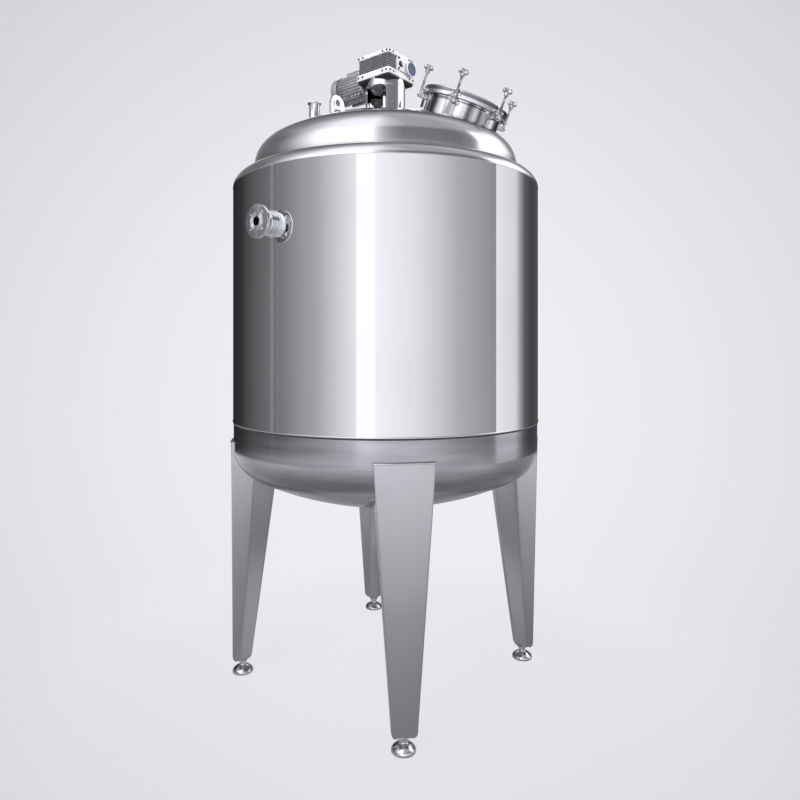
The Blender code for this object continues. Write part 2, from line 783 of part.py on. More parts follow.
def build_manway():
    """Collar with its brackets, gasket, dished lid with forks, hinge and swing bolts."""
    frame = empty("manway_frame", manway_matrix())
    build_collar(frame)
    gasket_r = COLLAR_RIM_RADIUS
    low = COLLAR_HEIGHT + SEAT
    gasket = turned(
        "manway_gasket",
        [(gasket_r, low + GASKET_T), (gasket_r, low),
         (gasket_r - GASKET_WIDTH, low), (gasket_r - GASKET_WIDTH, low + GASKET_T)],
        MANWAY_STEPS,
    )
    place(gasket, white_silicone(), parent=frame)
    build_lid(frame)
    build_hinge(frame)
    build_swing_bolts(frame)


def build_collar(frame):
    """Manway neck with a rolled rim, and the pivot brackets welded round it."""
    bore = COLLAR_RADIUS - COLLAR_T
    rim_low = COLLAR_HEIGHT - COLLAR_RIM_T
    collar = turned(
        "manway_collar",
        [(COLLAR_RIM_RADIUS, COLLAR_HEIGHT), (COLLAR_RIM_RADIUS, rim_low),
         (COLLAR_RADIUS, rim_low - COLLAR_RIM_T / 2.0), (COLLAR_RADIUS, -COLLAR_REACH),
         (bore, -COLLAR_REACH), (bore, COLLAR_HEIGHT)],
        MANWAY_STEPS,
    )
    place(collar, satin_steel(), parent=frame)
    inside = BOLT_EYE_WIDTH / 2.0 + BOLT_EAR_CLEARANCE
    ear_r = BOLT_EYE_RADIUS
    root_r = COLLAR_RADIUS - COLLAR_T / 2.0 - BOLT_CIRCLE
    outline = [(root_r, -ear_r - BOLT_EAR_T)] + arc(0.0, 0.0, ear_r, -60.0, 90.0, 5)
    outline += [(root_r, ear_r)]
    for number, angle in enumerate(bolt_angles(), 1):
        stand = spin_z(angle) @ shift(x=BOLT_CIRCLE, z=BOLT_PIVOT_Z)
        upright = Matrix.Rotation(math.radians(90.0), 4, "X")
        for side in (-1.0, 1.0):
            ear = plate(f"bolt_ear_{number}_{'a' if side < 0 else 'b'}", outline, BOLT_EAR_T)
            middle = side * (inside + BOLT_EAR_T / 2.0)
            combine(collar, place(ear, parent=frame, matrix=stand @ shift(y=middle) @ upright),
                    "UNION")
        reach = inside + BOLT_EAR_T * 1.5
        pin = cylinder(f"bolt_pin_{number}", BOLT_PIN_RADIUS, -reach, reach, FINE_STEPS)
        combine(collar, place(pin, parent=frame, matrix=stand @ lay_y()), "UNION")


def build_lid(frame):
    """Dished lid on a thick rim ring with a turned-down edge, and five slotted forks."""
    under = rim_z()
    over = under + LID_RING_HEIGHT
    skirt = under - LID_SKIRT
    rise = LID_DISH_RISE
    ball = (LID_DISH_RADIUS ** 2 + rise ** 2) / (2.0 * rise)
    inner = ball - LID_T
    sweep = math.asin(LID_DISH_RADIUS / ball)
    inner_sweep = math.asin(LID_RING_INNER / inner)
    top = []
    low = []
    for i in range(5):
        angle = sweep * i / 4.0
        inner_angle = inner_sweep * i / 4.0
        top.append((ball * math.sin(angle), over + rise - ball * (1.0 - math.cos(angle))))
        low.append((inner * math.sin(inner_angle), over + rise - ball + inner * math.cos(inner_angle)))
    profile = top + [
        (LID_RADIUS, over), (LID_RADIUS, skirt), (LID_RADIUS - LID_T, skirt),
        (LID_RADIUS - LID_T, under), (LID_RING_INNER, under),
    ] + low[::-1]
    lid = turned("manway_lid", profile, MANWAY_STEPS, closed=False)
    place(lid, satin_steel(), parent=frame)
    slot = BOLT_SHANK_RADIUS + SLOT_CLEARANCE
    half = FORK_WIDTH / 2.0
    root = LID_RADIUS - 2.0 * LID_T - BOLT_CIRCLE
    outline = [(root, half), (root, -half), (FORK_OVERHANG, -half), (FORK_OVERHANG, -slot)]
    outline += arc(0.0, 0.0, slot, -90.0, -270.0, FINE_STEPS)
    outline += [(FORK_OVERHANG, slot), (FORK_OVERHANG, half)]
    for number, angle in enumerate(bolt_angles(), 1):
        fork = plate(f"lid_fork_{number}", outline, FORK_T)
        middle = under + FORK_T / 2.0
        stand = spin_z(angle) @ shift(x=BOLT_CIRCLE, z=middle)
        combine(lid, place(fork, parent=frame, matrix=stand), "UNION")


def build_hinge(frame):
    """Lid hinge: an arm with a knuckle on the lid, two fixed ears and a pin."""
    over = rim_z() + LID_RING_HEIGHT + SEAT
    half = HINGE_ARM_WIDTH / 2.0
    axis = shift(x=-HINGE_R, z=HINGE_Z)
    bore = HINGE_PIN_RADIUS + SEAT
    arm = block("hinge_arm", (-HINGE_R, -half, over), (-HINGE_ARM_INNER_R, half, over + HINGE_ARM_T))
    place(arm, satin_steel(), parent=frame)
    post = block("hinge_post", (-HINGE_R - HINGE_KNUCKLE_RADIUS, -half, HINGE_Z),
                 (-LID_RADIUS - SEAT, half, over + HINGE_ARM_T))
    combine(arm, place(post, parent=frame), "UNION")
    knuckle = cylinder("hinge_knuckle", HINGE_KNUCKLE_RADIUS, -half, half)
    combine(arm, place(knuckle, parent=frame, matrix=axis @ lay_y()), "UNION")
    eye = cylinder("hinge_arm_eye", bore, -half - PAST, half + PAST, PIN_STEPS)
    combine(arm, place(eye, parent=frame, matrix=axis @ lay_y()))

    inside = half + HINGE_EAR_CLEARANCE
    pin_reach = inside + HINGE_EAR_T + 0.5 * HINGE_EAR_T
    pin = cylinder("hinge_pin", HINGE_PIN_RADIUS, -pin_reach, pin_reach, PIN_STEPS)
    place(pin, bright_steel(), parent=frame, matrix=axis @ lay_y())

    foot_low = COLLAR_HEIGHT / 2.0 - HINGE_Z
    foot_top = foot_low + HINGE_EAR_RADIUS
    root = HINGE_R - COLLAR_RADIUS + COLLAR_T / 2.0
    outline = [(root, foot_low), (root, foot_top), (HINGE_EAR_RADIUS, foot_top)]
    outline += arc(0.0, 0.0, HINGE_EAR_RADIUS, 0.0, 180.0, EAR_ARC_STEPS)
    outline += [(-HINGE_EAR_RADIUS, foot_low)]
    collar = bpy.data.objects["manway_collar"]
    for side in (-1.0, 1.0):
        name = "hinge_ear_left" if side > 0 else "hinge_ear_right"
        ear = plate(name, outline, HINGE_EAR_T)
        middle = side * (inside + HINGE_EAR_T / 2.0)
        upright = Matrix.Rotation(math.radians(90.0), 4, "X")
        place(ear, parent=frame, matrix=axis @ shift(y=middle) @ upright)
        hole = cylinder(name + "_hole", bore, -pin_reach, pin_reach, PIN_STEPS)
        combine(ear, place(hole, parent=frame, matrix=axis @ lay_y()))
        combine(collar, ear, "UNION")


def knob_outline():
    """Closed outline of the star knob: a circle with a wave of six lobes."""
    count = KNOB_LOBES * 6
    points = []
    for i in range(count):
        angle = 2.0 * math.pi * i / count
        radius = KNOB_RADIUS - KNOB_LOBE + KNOB_LOBE * math.cos(KNOB_LOBES * angle)
        points.append((radius * math.cos(angle), radius * math.sin(angle)))
    return points


def build_swing_bolts(frame):
    """Swing bolts: an eye on the pivot pin, a shank and a star knob, one at each fork."""
    half = BOLT_EYE_WIDTH / 2.0
    for number, angle in enumerate(bolt_angles(), 1):
        stand = spin_z(angle) @ shift(x=BOLT_CIRCLE, z=BOLT_PIVOT_Z)
        bolt = cylinder(f"swing_bolt_{number}", BOLT_EYE_RADIUS, -half, half, EYE_STEPS)
        place(bolt, bright_steel(), parent=frame, matrix=stand @ lay_y())
        shank = cylinder(f"bolt_shank_{number}", BOLT_SHANK_RADIUS, 0.0, KNOB_UNDERSIDE, FINE_STEPS)
        combine(bolt, place(shank, parent=frame, matrix=stand), "UNION")
        hub = cylinder(f"knob_hub_{number}", KNOB_HUB_RADIUS, KNOB_UNDERSIDE - KNOB_HUB_LENGTH,
                       KNOB_UNDERSIDE + KNOB_T / 4.0, TINY_STEPS)
        combine(bolt, place(hub, parent=frame, matrix=stand), "UNION")
        star = plate(f"knob_star_{number}", knob_outline(), KNOB_T)
        middle = KNOB_UNDERSIDE + KNOB_T / 2.0
        combine(bolt, place(star, parent=frame, matrix=stand @ shift(z=middle)), "UNION")
        eye = cylinder(f"bolt_eye_{number}", BOLT_PIN_RADIUS + BOLT_PIN_CLEARANCE,
                       -BOLT_EYE_WIDTH, BOLT_EYE_WIDTH, FINE_STEPS)
        combine(bolt, place(eye, parent=frame, matrix=stand @ lay_y()))


def square_turned(name, profile):
    """A square piece whose sides follow the profile of (half width, z) points."""
    corner = math.sqrt(2.0)
    return turned(name, [(r * corner, z) for r, z in profile], 4, closed=False)


def gear_matrix():
    """Frame of the gearbox, with X pointing along the motor."""
    return spin_z(GEAR_TURN)


def square_matrix():
    """A square that was turned in four steps has its corners on the axes: turn it flat."""
    return gear_matrix() @ spin_z(45.0)


def build_drive():
    """Pad on the top head, lantern with its windows, seal, gearbox and motor."""
    pad = turned(
        "drive_pad",
        [(PAD_RADIUS, PAD_TOP_Z), (PAD_RADIUS, top_head_z(PAD_RADIUS) - PAST),
         (PAD_BORE_RADIUS, top_head_z(PAD_RADIUS) - PAST), (PAD_BORE_RADIUS, PAD_TOP_Z)],
        SHELL_STEPS,
    )
    place(pad, satin_steel())
    combine(pad, bpy.data.objects["head_cope"])

    base = PAD_TOP_Z + SEAT
    top = GEAR_BASE_Z - SEAT
    inner = LANTERN_RADIUS - LANTERN_T
    lantern = turned(
        "drive_lantern",
        [(LANTERN_RADIUS, top), (LANTERN_RADIUS, base + LANTERN_FOOT_T),
         (LANTERN_FOOT_RADIUS, base + LANTERN_FOOT_T), (LANTERN_FOOT_RADIUS, base),
         (inner, base), (inner, top)],
        ROUND_STEPS,
    )
    place(lantern, satin_steel())
    for number, azimuth in enumerate(WINDOW_AZIMUTHS, 1):
        reach = LANTERN_RADIUS + PAST
        half = reach * math.tan(math.radians(WINDOW_HALF_ANGLE))
        outline = [(0.0, 0.0), (reach, -half), (reach, half)]
        low = base + WINDOW_SILL
        high = top - WINDOW_TOP_GAP
        window = plate(f"lantern_window_{number}", outline, high - low)
        combine(lantern, place(window, matrix=spin_z(azimuth) @ shift(z=(low + high) / 2.0)))

    seal = turned(
        "shaft_seal",
        [(SEAL_RADIUS, base + SEAL_HEIGHT), (SEAL_RADIUS, base),
         (SEAL_BORE_RADIUS, base), (SEAL_BORE_RADIUS, base + SEAL_HEIGHT)],
        ROUND_STEPS,
    )
    place(seal, bright_steel())
    build_gearbox()
    build_motor()


def build_gearbox():
    """Finned gearbox between two plates, with a capped boss on the side away from the motor."""
    half = GEAR_BASE_SIZE / 2.0
    body_z = GEAR_BASE_Z + GEAR_BASE_T + SEAT
    lid_z = body_z + GEAR_BODY_HEIGHT + SEAT
    base = block("gearbox_base_plate", (-half, -half, GEAR_BASE_Z),
                 (half, half, GEAR_BASE_Z + GEAR_BASE_T))
    place(base, cast_aluminium(), matrix=gear_matrix())
    hole = cylinder("gearbox_shaft_hole", SHAFT_RADIUS + SHAFT_CLEARANCE, GEAR_BASE_Z - PAST,
                    GEAR_BASE_Z + GEAR_BASE_T + PAST, ROUND_STEPS)
    combine(base, place(hole))

    wide = GEAR_BODY_SIZE / 2.0
    narrow = wide - GEAR_FIN_DEPTH
    pitch = GEAR_BODY_HEIGHT / (2 * GEAR_FINS + 1)
    profile = [(0.0, body_z + GEAR_BODY_HEIGHT)]
    for i in range(2 * GEAR_FINS + 1):
        radius = wide if i % 2 == 0 else narrow
        high = body_z + GEAR_BODY_HEIGHT - pitch * i
        profile += [(radius, high), (radius, high - pitch)]
    profile.append((0.0, body_z))
    body = square_turned("gearbox_housing", profile)
    place(body, cast_aluminium(), matrix=square_matrix())
    middle = body_z + GEAR_BODY_HEIGHT / 2.0
    side = BOSS_PLATE / 2.0
    face = block("boss_plate", (-wide - BOSS_PLATE_T, -BOSS_PLATE_END, middle - side),
                 (-narrow + GEAR_FIN_DEPTH, BOSS_PLATE_START, middle + side))
    combine(body, place(face, matrix=gear_matrix()), "UNION")
    boss = cylinder("boss_barrel", BOSS_RADIUS, wide - PAST, wide + BOSS_REACH - BOSS_CAP_T)
    flip = gear_matrix() @ shift(y=-BOSS_OFFSET, z=middle - BOSS_DROP) @ spin_z(180.0) @ lay_x()
    combine(body, place(boss, matrix=flip), "UNION")
    cap = cylinder("gearbox_side_cap", BOSS_CAP_RADIUS, wide + BOSS_REACH - BOSS_CAP_T + SEAT,
                   wide + BOSS_REACH, ROUND_STEPS)
    place(cap, blue_cap(), matrix=flip)

    half = GEAR_LID_SIZE / 2.0
    lid = block("gearbox_top_plate", (-half, -half, lid_z), (half, half, lid_z + GEAR_LID_T))
    place(lid, cast_aluminium(), matrix=gear_matrix())


def build_motor():
    """Finned motor on the gearbox side, with flange, fan cover and terminal box."""
    start = GEAR_BASE_SIZE / 2.0 + SEAT
    along = gear_matrix() @ shift(z=MOTOR_Z) @ lay_x()
    flange = cylinder("motor_flange", MOTOR_FLANGE_RADIUS, start, start + MOTOR_FLANGE_T, ROUND_STEPS)
    place(flange, cast_aluminium(), matrix=along)

    outline = []
    step = 360.0 / MOTOR_FINS
    root = MOTOR_RADIUS - MOTOR_FIN_DEPTH
    for i in range(MOTOR_FINS):
        for share, radius in zip(MOTOR_FIN_SHARES, (MOTOR_RADIUS, MOTOR_RADIUS, root, root)):
            angle = math.radians(step * (i + share))
            outline.append((radius * math.cos(angle), radius * math.sin(angle)))
    body = plate("motor_body", outline, MOTOR_LENGTH)
    body_low = start + MOTOR_FLANGE_T + SEAT
    place(body, cast_aluminium(), matrix=along @ shift(z=body_low + MOTOR_LENGTH / 2.0))

    cover_low = body_low + MOTOR_LENGTH + SEAT
    end = cover_low + FAN_COVER_LENGTH
    cover = turned(
        "motor_fan_cover",
        [(0.0, end), (FAN_COVER_END_RADIUS, end), (FAN_COVER_RADIUS, end - FAN_COVER_BEND),
         (FAN_COVER_RADIUS, cover_low), (0.0, cover_low)],
        ROUND_STEPS, closed=False,
    )
    place(cover, cast_aluminium(), matrix=along)

    box_low = MOTOR_Z + root
    near = body_low + TERMINAL_START
    box = block("motor_terminal_box", (near, -TERMINAL_WIDTH / 2.0, box_low - TERMINAL_SINK),
                (near + TERMINAL_LENGTH, TERMINAL_WIDTH / 2.0, box_low + TERMINAL_HEIGHT))
    place(box, cast_aluminium(), matrix=gear_matrix())
    cope = cylinder("terminal_cope", MOTOR_RADIUS + SEAT, body_low - PAST, end + PAST, MOTOR_FINS * 2)
    combine(box, place(cope, matrix=along))


def build_agitator():
    """Shaft from the gearbox down into the vessel, with a pitched-blade impeller."""
    top = GEAR_BASE_Z + GEAR_BASE_T - SEAT
    shaft = cylinder("agitator_shaft", SHAFT_RADIUS, SHAFT_BOTTOM_Z, top, ROUND_STEPS)
    place(shaft, bright_steel())
    low = IMPELLER_Z - IMPELLER_HUB_HEIGHT / 2.0
    high = IMPELLER_Z + IMPELLER_HUB_HEIGHT / 2.0
    bore = SHAFT_RADIUS + SEAT
    hub = turned(
        "agitator_impeller",
        [(IMPELLER_HUB_RADIUS, high), (IMPELLER_HUB_RADIUS, low), (bore, low), (bore, high)],
        ROUND_STEPS,
    )
    place(hub, satin_steel())
    for index in range(IMPELLER_BLADES):
        blade = block(
            f"impeller_blade_{index + 1}",
            (IMPELLER_HUB_RADIUS - PAST, -BLADE_WIDTH / 2.0, -BLADE_T / 2.0),
            (IMPELLER_RADIUS, BLADE_WIDTH / 2.0, BLADE_T / 2.0),
        )
        pitch = Matrix.Rotation(math.radians(BLADE_PITCH), 4, "X")
        stand = spin_z(360.0 * index / IMPELLER_BLADES) @ shift(z=IMPELLER_Z) @ pitch
        combine(hub, place(blade, matrix=stand), "UNION")


def main():
    """Build the tank from the ground up."""
    clear_scene()
    build_shell()
    build_vessel()
    build_legs()
    build_fittings()
    build_drive()
    build_agitator()
    build_manway()
    bpy.context.view_layer.update()


main()
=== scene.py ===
"""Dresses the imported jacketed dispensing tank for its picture.

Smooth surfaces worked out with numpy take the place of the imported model's faceted solids, at the
same sizes and on the same bodies. The script adds what the solids leave out (weld beads, screws,
threads, grilles), gives each finish a procedural material, and sets floor, lights and camera.
Units are metres and degrees, +Z is up and the tank's axis is the Z axis.
"""

import json
import logging
import math
from dataclasses import dataclass, replace
from enum import Enum
from typing import Sequence

import bmesh
import bpy
import numpy as np
from mathutils import Matrix, Vector


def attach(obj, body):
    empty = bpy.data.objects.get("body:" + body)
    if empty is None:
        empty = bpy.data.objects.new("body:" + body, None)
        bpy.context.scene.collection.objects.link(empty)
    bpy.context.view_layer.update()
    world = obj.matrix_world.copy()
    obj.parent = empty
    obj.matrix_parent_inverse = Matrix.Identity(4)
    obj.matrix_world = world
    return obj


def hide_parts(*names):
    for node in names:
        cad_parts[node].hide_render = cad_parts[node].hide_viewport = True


log = logging.getLogger("dispensing_tank")

Array = np.ndarray
Corners = Sequence[tuple[float, ...]]
Item = bpy.types.Object
Socket = bpy.types.NodeSocket
Table = tuple[tuple[float, ...], ...]
Tree = bpy.types.NodeTree
MM = 0.001
FULL = 2.0 * math.pi
HALF_TURN = (0.0, math.pi)
SEAT = 0.3 * MM  # the joint between two pieces that lie on each other
EDGE, ROUND_EDGE = 32.0, 80.0  # angles over which a piece's and a bead's edges show


# ---------------------------------------------------------------- finishes


def linear(code: str) -> tuple[float, float, float, float]:
    """Turns an sRGB hex colour into linear light.

    Args:
        code: Six hex digits, such as "C8CACD".

    Returns:
        Red, green and blue from 0 to 1, and an alpha of 1.
    """
    values = [int(code[i:i + 2], 16) / 255.0 for i in (0, 2, 4)]
    curved = [v / 12.92 if v <= 0.04045 else ((v + 0.055) / 1.055) ** 2.4 for v in values]
    return (*curved, 1.0)


def add_node(tree: Tree, kind: str, inputs: dict | None = None,
             **settings: str) -> bpy.types.Node:
    """Adds a shader node.

    Args:
        tree: The node tree that gets it.
        kind: Blender's name of its type, without ShaderNode in front.
        inputs: Input sockets by name or number, each a value or a socket to link from.
        settings: Properties of the node.

    Returns:
        The new node.
    """
    made = tree.nodes.new("ShaderNode" + kind)
    for name, value in settings.items():
        setattr(made, name, value)
    for name, value in (inputs or {}).items():
        if isinstance(value, Socket):
            tree.links.new(value, made.inputs[name])
        else:
            made.inputs[name].default_value = value
    return made


def add_maths(tree: Tree, operation: str, first: Socket, second: Socket | float) -> Socket:
    """Adds a maths node and returns its result."""
    return add_node(tree, "Math", {0: first, 1: second}, operation=operation).outputs["Value"]


def add_range(tree: Tree, value: Socket, span: tuple[float, float],
              to: tuple[float, float] = (0.0, 1.0), kind: str = "LINEAR") -> Socket:
    """Adds a node that maps a span to another, and returns its result."""
    return add_node(tree, "MapRange", {
        "Value": value, "From Min": span[0], "From Max": span[1], "To Min": to[0],
        "To Max": to[1]}, interpolation_type=kind).outputs["Result"]


def add_blend(tree: Tree, share: Socket, low: str, high: str) -> Socket:
    """Adds a node that mixes two hex colours by a share, and returns the colour."""
    return add_node(tree, "Mix", {0: share, 6: linear(low), 7: linear(high)},
                    data_type="RGBA").outputs[2]


def new_material(name: str) -> bpy.types.Material:
    """Makes a material with its first nodes.

    Args:
        name: Its name.

    Returns:
        The material.
    """
    made = bpy.data.materials.new(name)
    made.use_nodes = True
    return made


class Grain(Enum):
    """Which way the marks of grinding or rolling run on a surface."""

    ROUND = "along the first direction of the piece's own UV map"
    ACROSS = "across the first direction of the piece's own UV map"
    UPRIGHT = "along Z"
    EVEN = "no direction, as after blasting or casting"


@dataclass(frozen=True)
class Finish:
    """A real material, how its surface was made, and the record's slot that it belongs to.

    The marks are a noise stretched along the grain. They move the roughness between two values
    and raise the surface by a small height. A second, wide noise shades the colour, a little as
    hand polishing and handling do, and on the manway's neck strongly, as painted reflections.
    """

    name: str
    slot: str
    colour: str
    dark: str
    roughness: tuple[float, float]
    grain: Grain
    pitch_mm: float
    run_mm: float
    height_mm: float
    cloud_mm: float
    metallic: float = 1.0

    def material(self) -> bpy.types.Material:
        """Makes the material on the first call, and finds it on later ones.

        Returns:
            The material.
        """
        if self.name in bpy.data.materials:
            return bpy.data.materials[self.name]
        made = new_material(self.name)
        tree = made.node_tree
        shader = tree.nodes["Principled BSDF"].inputs
        shader["Metallic"].default_value = self.metallic
        place = add_node(tree, "TexCoord").outputs
        fine, along = 1.0 / (self.pitch_mm * MM), 1.0 / (self.run_mm * MM)
        source, scale, drawn = {
            Grain.ROUND: ("UV", (along, fine, fine), (0.2, 1.0, 1.0)),
            Grain.ACROSS: ("UV", (fine, along, fine), (1.0, 0.05, 1.0)),
            Grain.UPRIGHT: ("Object", (fine, fine, along), (1.0, 1.0, 1.0)),
            Grain.EVEN: ("Object", (fine, fine, fine), (1.0, 1.0, 1.0)),
        }[self.grain]
        near = add_node(tree, "Mapping", {"Vector": place[source], "Scale": scale})
        marks = add_node(tree, "TexNoise", {
            "Vector": near.outputs["Vector"], "Scale": 1.0, "Detail": 3.0,
            "Roughness": 0.55}).outputs["Fac"]
        tree.links.new(add_range(tree, marks, (0.3, 0.7), self.roughness), shader["Roughness"])
        raised = add_node(tree, "Bump", {
            "Height": marks, "Distance": self.height_mm * MM, "Strength": 1.0})
        tree.links.new(raised.outputs["Normal"], shader["Normal"])
        # The wide noise mixes colour and dark; on the manway's neck its strong contrast paints
        # bands of reflection
        wide = add_node(tree, "Mapping", {"Vector": place[source], "Scale": drawn})
        cloud = add_node(tree, "TexNoise", {
            "Vector": wide.outputs["Vector"], "Scale": 1.0 / (self.cloud_mm * MM),
            "Detail": 2.0})
        share = add_range(tree, cloud.outputs["Fac"], (0.35, 0.65))
        tree.links.new(add_blend(tree, share, self.colour, self.dark), shader["Base Color"])
        return made

    def plain(self) -> "Finish":
        """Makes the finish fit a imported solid, which has no UV map for marks that run round it.

        Returns:
            The finish, with even marks in place of round ones.
        """
        if self.grain is not Grain.ROUND:
            return self
        return replace(self, name=self.name + "_solid", grain=Grain.EVEN)


# Cold-rolled stainless sheet polished to a mirror: reflections with crisp edges
MIRROR_SHEET = Finish("mirror_polished_stainless", "polished_shell", "DADBDE", "D6D7DA",
                      (0.030, 0.045), Grain.UPRIGHT, 3.0, 400.0, 0.0004, 700.0)
# Spun and ground heads: clear reflections, softened by faint rings round the axis
SPUN_HEAD = Finish("spun_satin_stainless", "satin_plate", "D8D9DC", "CFD0D4",
                   (0.055, 0.090), Grain.ROUND, 3.0, 400.0, 0.0012, 260.0)
# Hand-buffed lid, lantern, lugs and sleeve: nearly a mirror
BUFFED = Finish("hand_buffed_stainless", "satin_plate", "DEDFE2", "D6D7DB",
                (0.045, 0.085), Grain.EVEN, 40.0, 40.0, 0.010, 120.0)
# The manway's neck, buffed along its axis, with darker and brighter bands painted into its colour
# as painted reflections
NECK_PAINTED_REFLECTIONS = Finish("neck_painted_reflection_bands", "satin_plate", "F0F1F3", "66676C",
                     (0.05, 0.09), Grain.ACROSS, 3.0, 100.0, 0.0008, 46.0)
# The bottom head, ground only: its reflections run together into soft shades. Its colour is darker
# than the other stainless, as painted shade under the tank
HEAD_PAINTED_SHADE = Finish("ground_stainless_head_painted_shade", "satin_plate", "B0B1B5", "98999E",
                     (0.12, 0.17), Grain.ROUND, 3.0, 500.0, 0.0012, 60.0)
# Folded plate of the legs, ground along its length
LEG_PLATE = Finish("ground_stainless_plate", "satin_plate", "C2C3C6", "BBBCC0",
                   (0.15, 0.19), Grain.UPRIGHT, 3.0, 600.0, 0.0004, 600.0)
# Turned and buffed fittings: bright with fine tool rings
TURNED = Finish("turned_stainless", "machined_steel", "E0E1E4", "D6D7DA",
                (0.06, 0.12), Grain.ROUND, 1.2, 60.0, 0.003, 60.0)
# Investment-cast knobs, tumbled bright
TUMBLED = Finish("tumbled_stainless", "machined_steel", "E8E9EB", "8E8F94",
                 (0.05, 0.10), Grain.EVEN, 4.0, 4.0, 0.010, 14.0)
# Brushed weld beads, a little duller and warmer than the sheet
WELD = Finish("brushed_stainless_weld", "satin_plate", "E4E4E6", "D0CFD0",
              (0.12, 0.20), Grain.EVEN, 6.0, 6.0, 0.010, 60.0)
# A dark grey ring as painted shadow in the gap under the shell and in the gap at the motor's fan
# cover
PAINTED_SHADOW_GAP = Finish("painted_shadow_gap_grey", "cast_aluminium", "3C3D41", "34353A",
                 (0.50, 0.65), Grain.EVEN, 4.0, 4.0, 0.010, 60.0, 0.0)
# Bead-blasted aluminium castings of the motor, drawn coarse enough to show
CAST = Finish("blasted_cast_aluminium", "cast_aluminium", "C2C4C8", "AEB0B5",
              (0.28, 0.40), Grain.EVEN, 2.0, 2.0, 0.020, 40.0, 0.6)
# The core between the fins and the sheet under the foot plate, coloured dark as painted shade
CAST_PAINTED_SHADE = Finish("cast_recess_painted_shade", "cast_aluminium", "242528", "1C1D20",
                     (0.55, 0.70), Grain.EVEN, 2.0, 2.0, 0.020, 40.0, 0.0)
# The lid's rim band, ground and not buffed, and coloured dark as a painted reflection
BAND_PAINTED_REFLECTION = Finish("lid_band_painted_reflection", "satin_plate", "85868B", "74757A",
                     (0.10, 0.16), Grain.ROUND, 3.0, 60.0, 0.004, 40.0)
# Cooling fins of the gearbox, blasted and left dull
CAST_FINS = Finish("blasted_cast_fins", "cast_aluminium", "A6A8AD", "94969B",
                   (0.25, 0.35), Grain.EVEN, 2.0, 2.0, 0.010, 40.0, 0.5)
# Machined faces of the castings, coloured near-white and only a little metallic as a painted
# highlight
MACHINED_PAINTED_HIGHLIGHT = Finish("machined_aluminium_painted_highlight", "cast_aluminium", "F8F8FA", "ECEDF0",
                  (0.22, 0.32), Grain.EVEN, 1.5, 1.5, 0.004, 50.0, 0.25)
# Blackened steel screws
BLACK_STEEL = Finish("blackened_steel", "cast_aluminium", "2C2D31", "1C1D20",
                     (0.30, 0.45), Grain.EVEN, 2.0, 2.0, 0.010, 20.0, 0.8)
# Moulded plastic of the gearbox's cap and of its breather
BLUE_PLASTIC = Finish("moulded_blue_plastic", "blue_cap", "48577E", "3C4A70",
                      (0.30, 0.40), Grain.EVEN, 1.5, 1.5, 0.010, 30.0, 0.0)
RED_PLASTIC = Finish("moulded_red_plastic", "cast_aluminium", "B03A34", "98302C",
                     (0.30, 0.40), Grain.EVEN, 1.5, 1.5, 0.010, 30.0, 0.0)
# Moulded silicone of the gasket: matt and even
SILICONE = Finish("moulded_white_silicone", "silicone", "DADAD6", "CFCFCA",
                  (0.50, 0.62), Grain.EVEN, 1.0, 1.0, 0.010, 60.0, 0.0)
# Mineral wool, hidden between shell and vessel
WOOL = Finish("mineral_wool", "mineral_wool", "B9A86C", "8F7F4A",
              (0.90, 1.00), Grain.EVEN, 4.0, 4.0, 1.5, 40.0, 0.0)


# ---------------------------------------------------------------- surfaces


@dataclass(frozen=True)
class Grid:
    """Rows of points that span a surface.

    The columns join up when wrap is true and the rows when loop is true. With caps, the first
    and the last row are closed by a fan round their middle.
    """

    points: Array
    wrap: bool = True
    loop: bool = False
    caps: bool = False

    def moved(self, matrix: Matrix) -> "Grid":
        """Returns the grid with every point p at R p + t of the matrix."""
        held = np.array(matrix)
        return replace(self, points=self.points @ held[:3, :3].T + held[:3, 3])


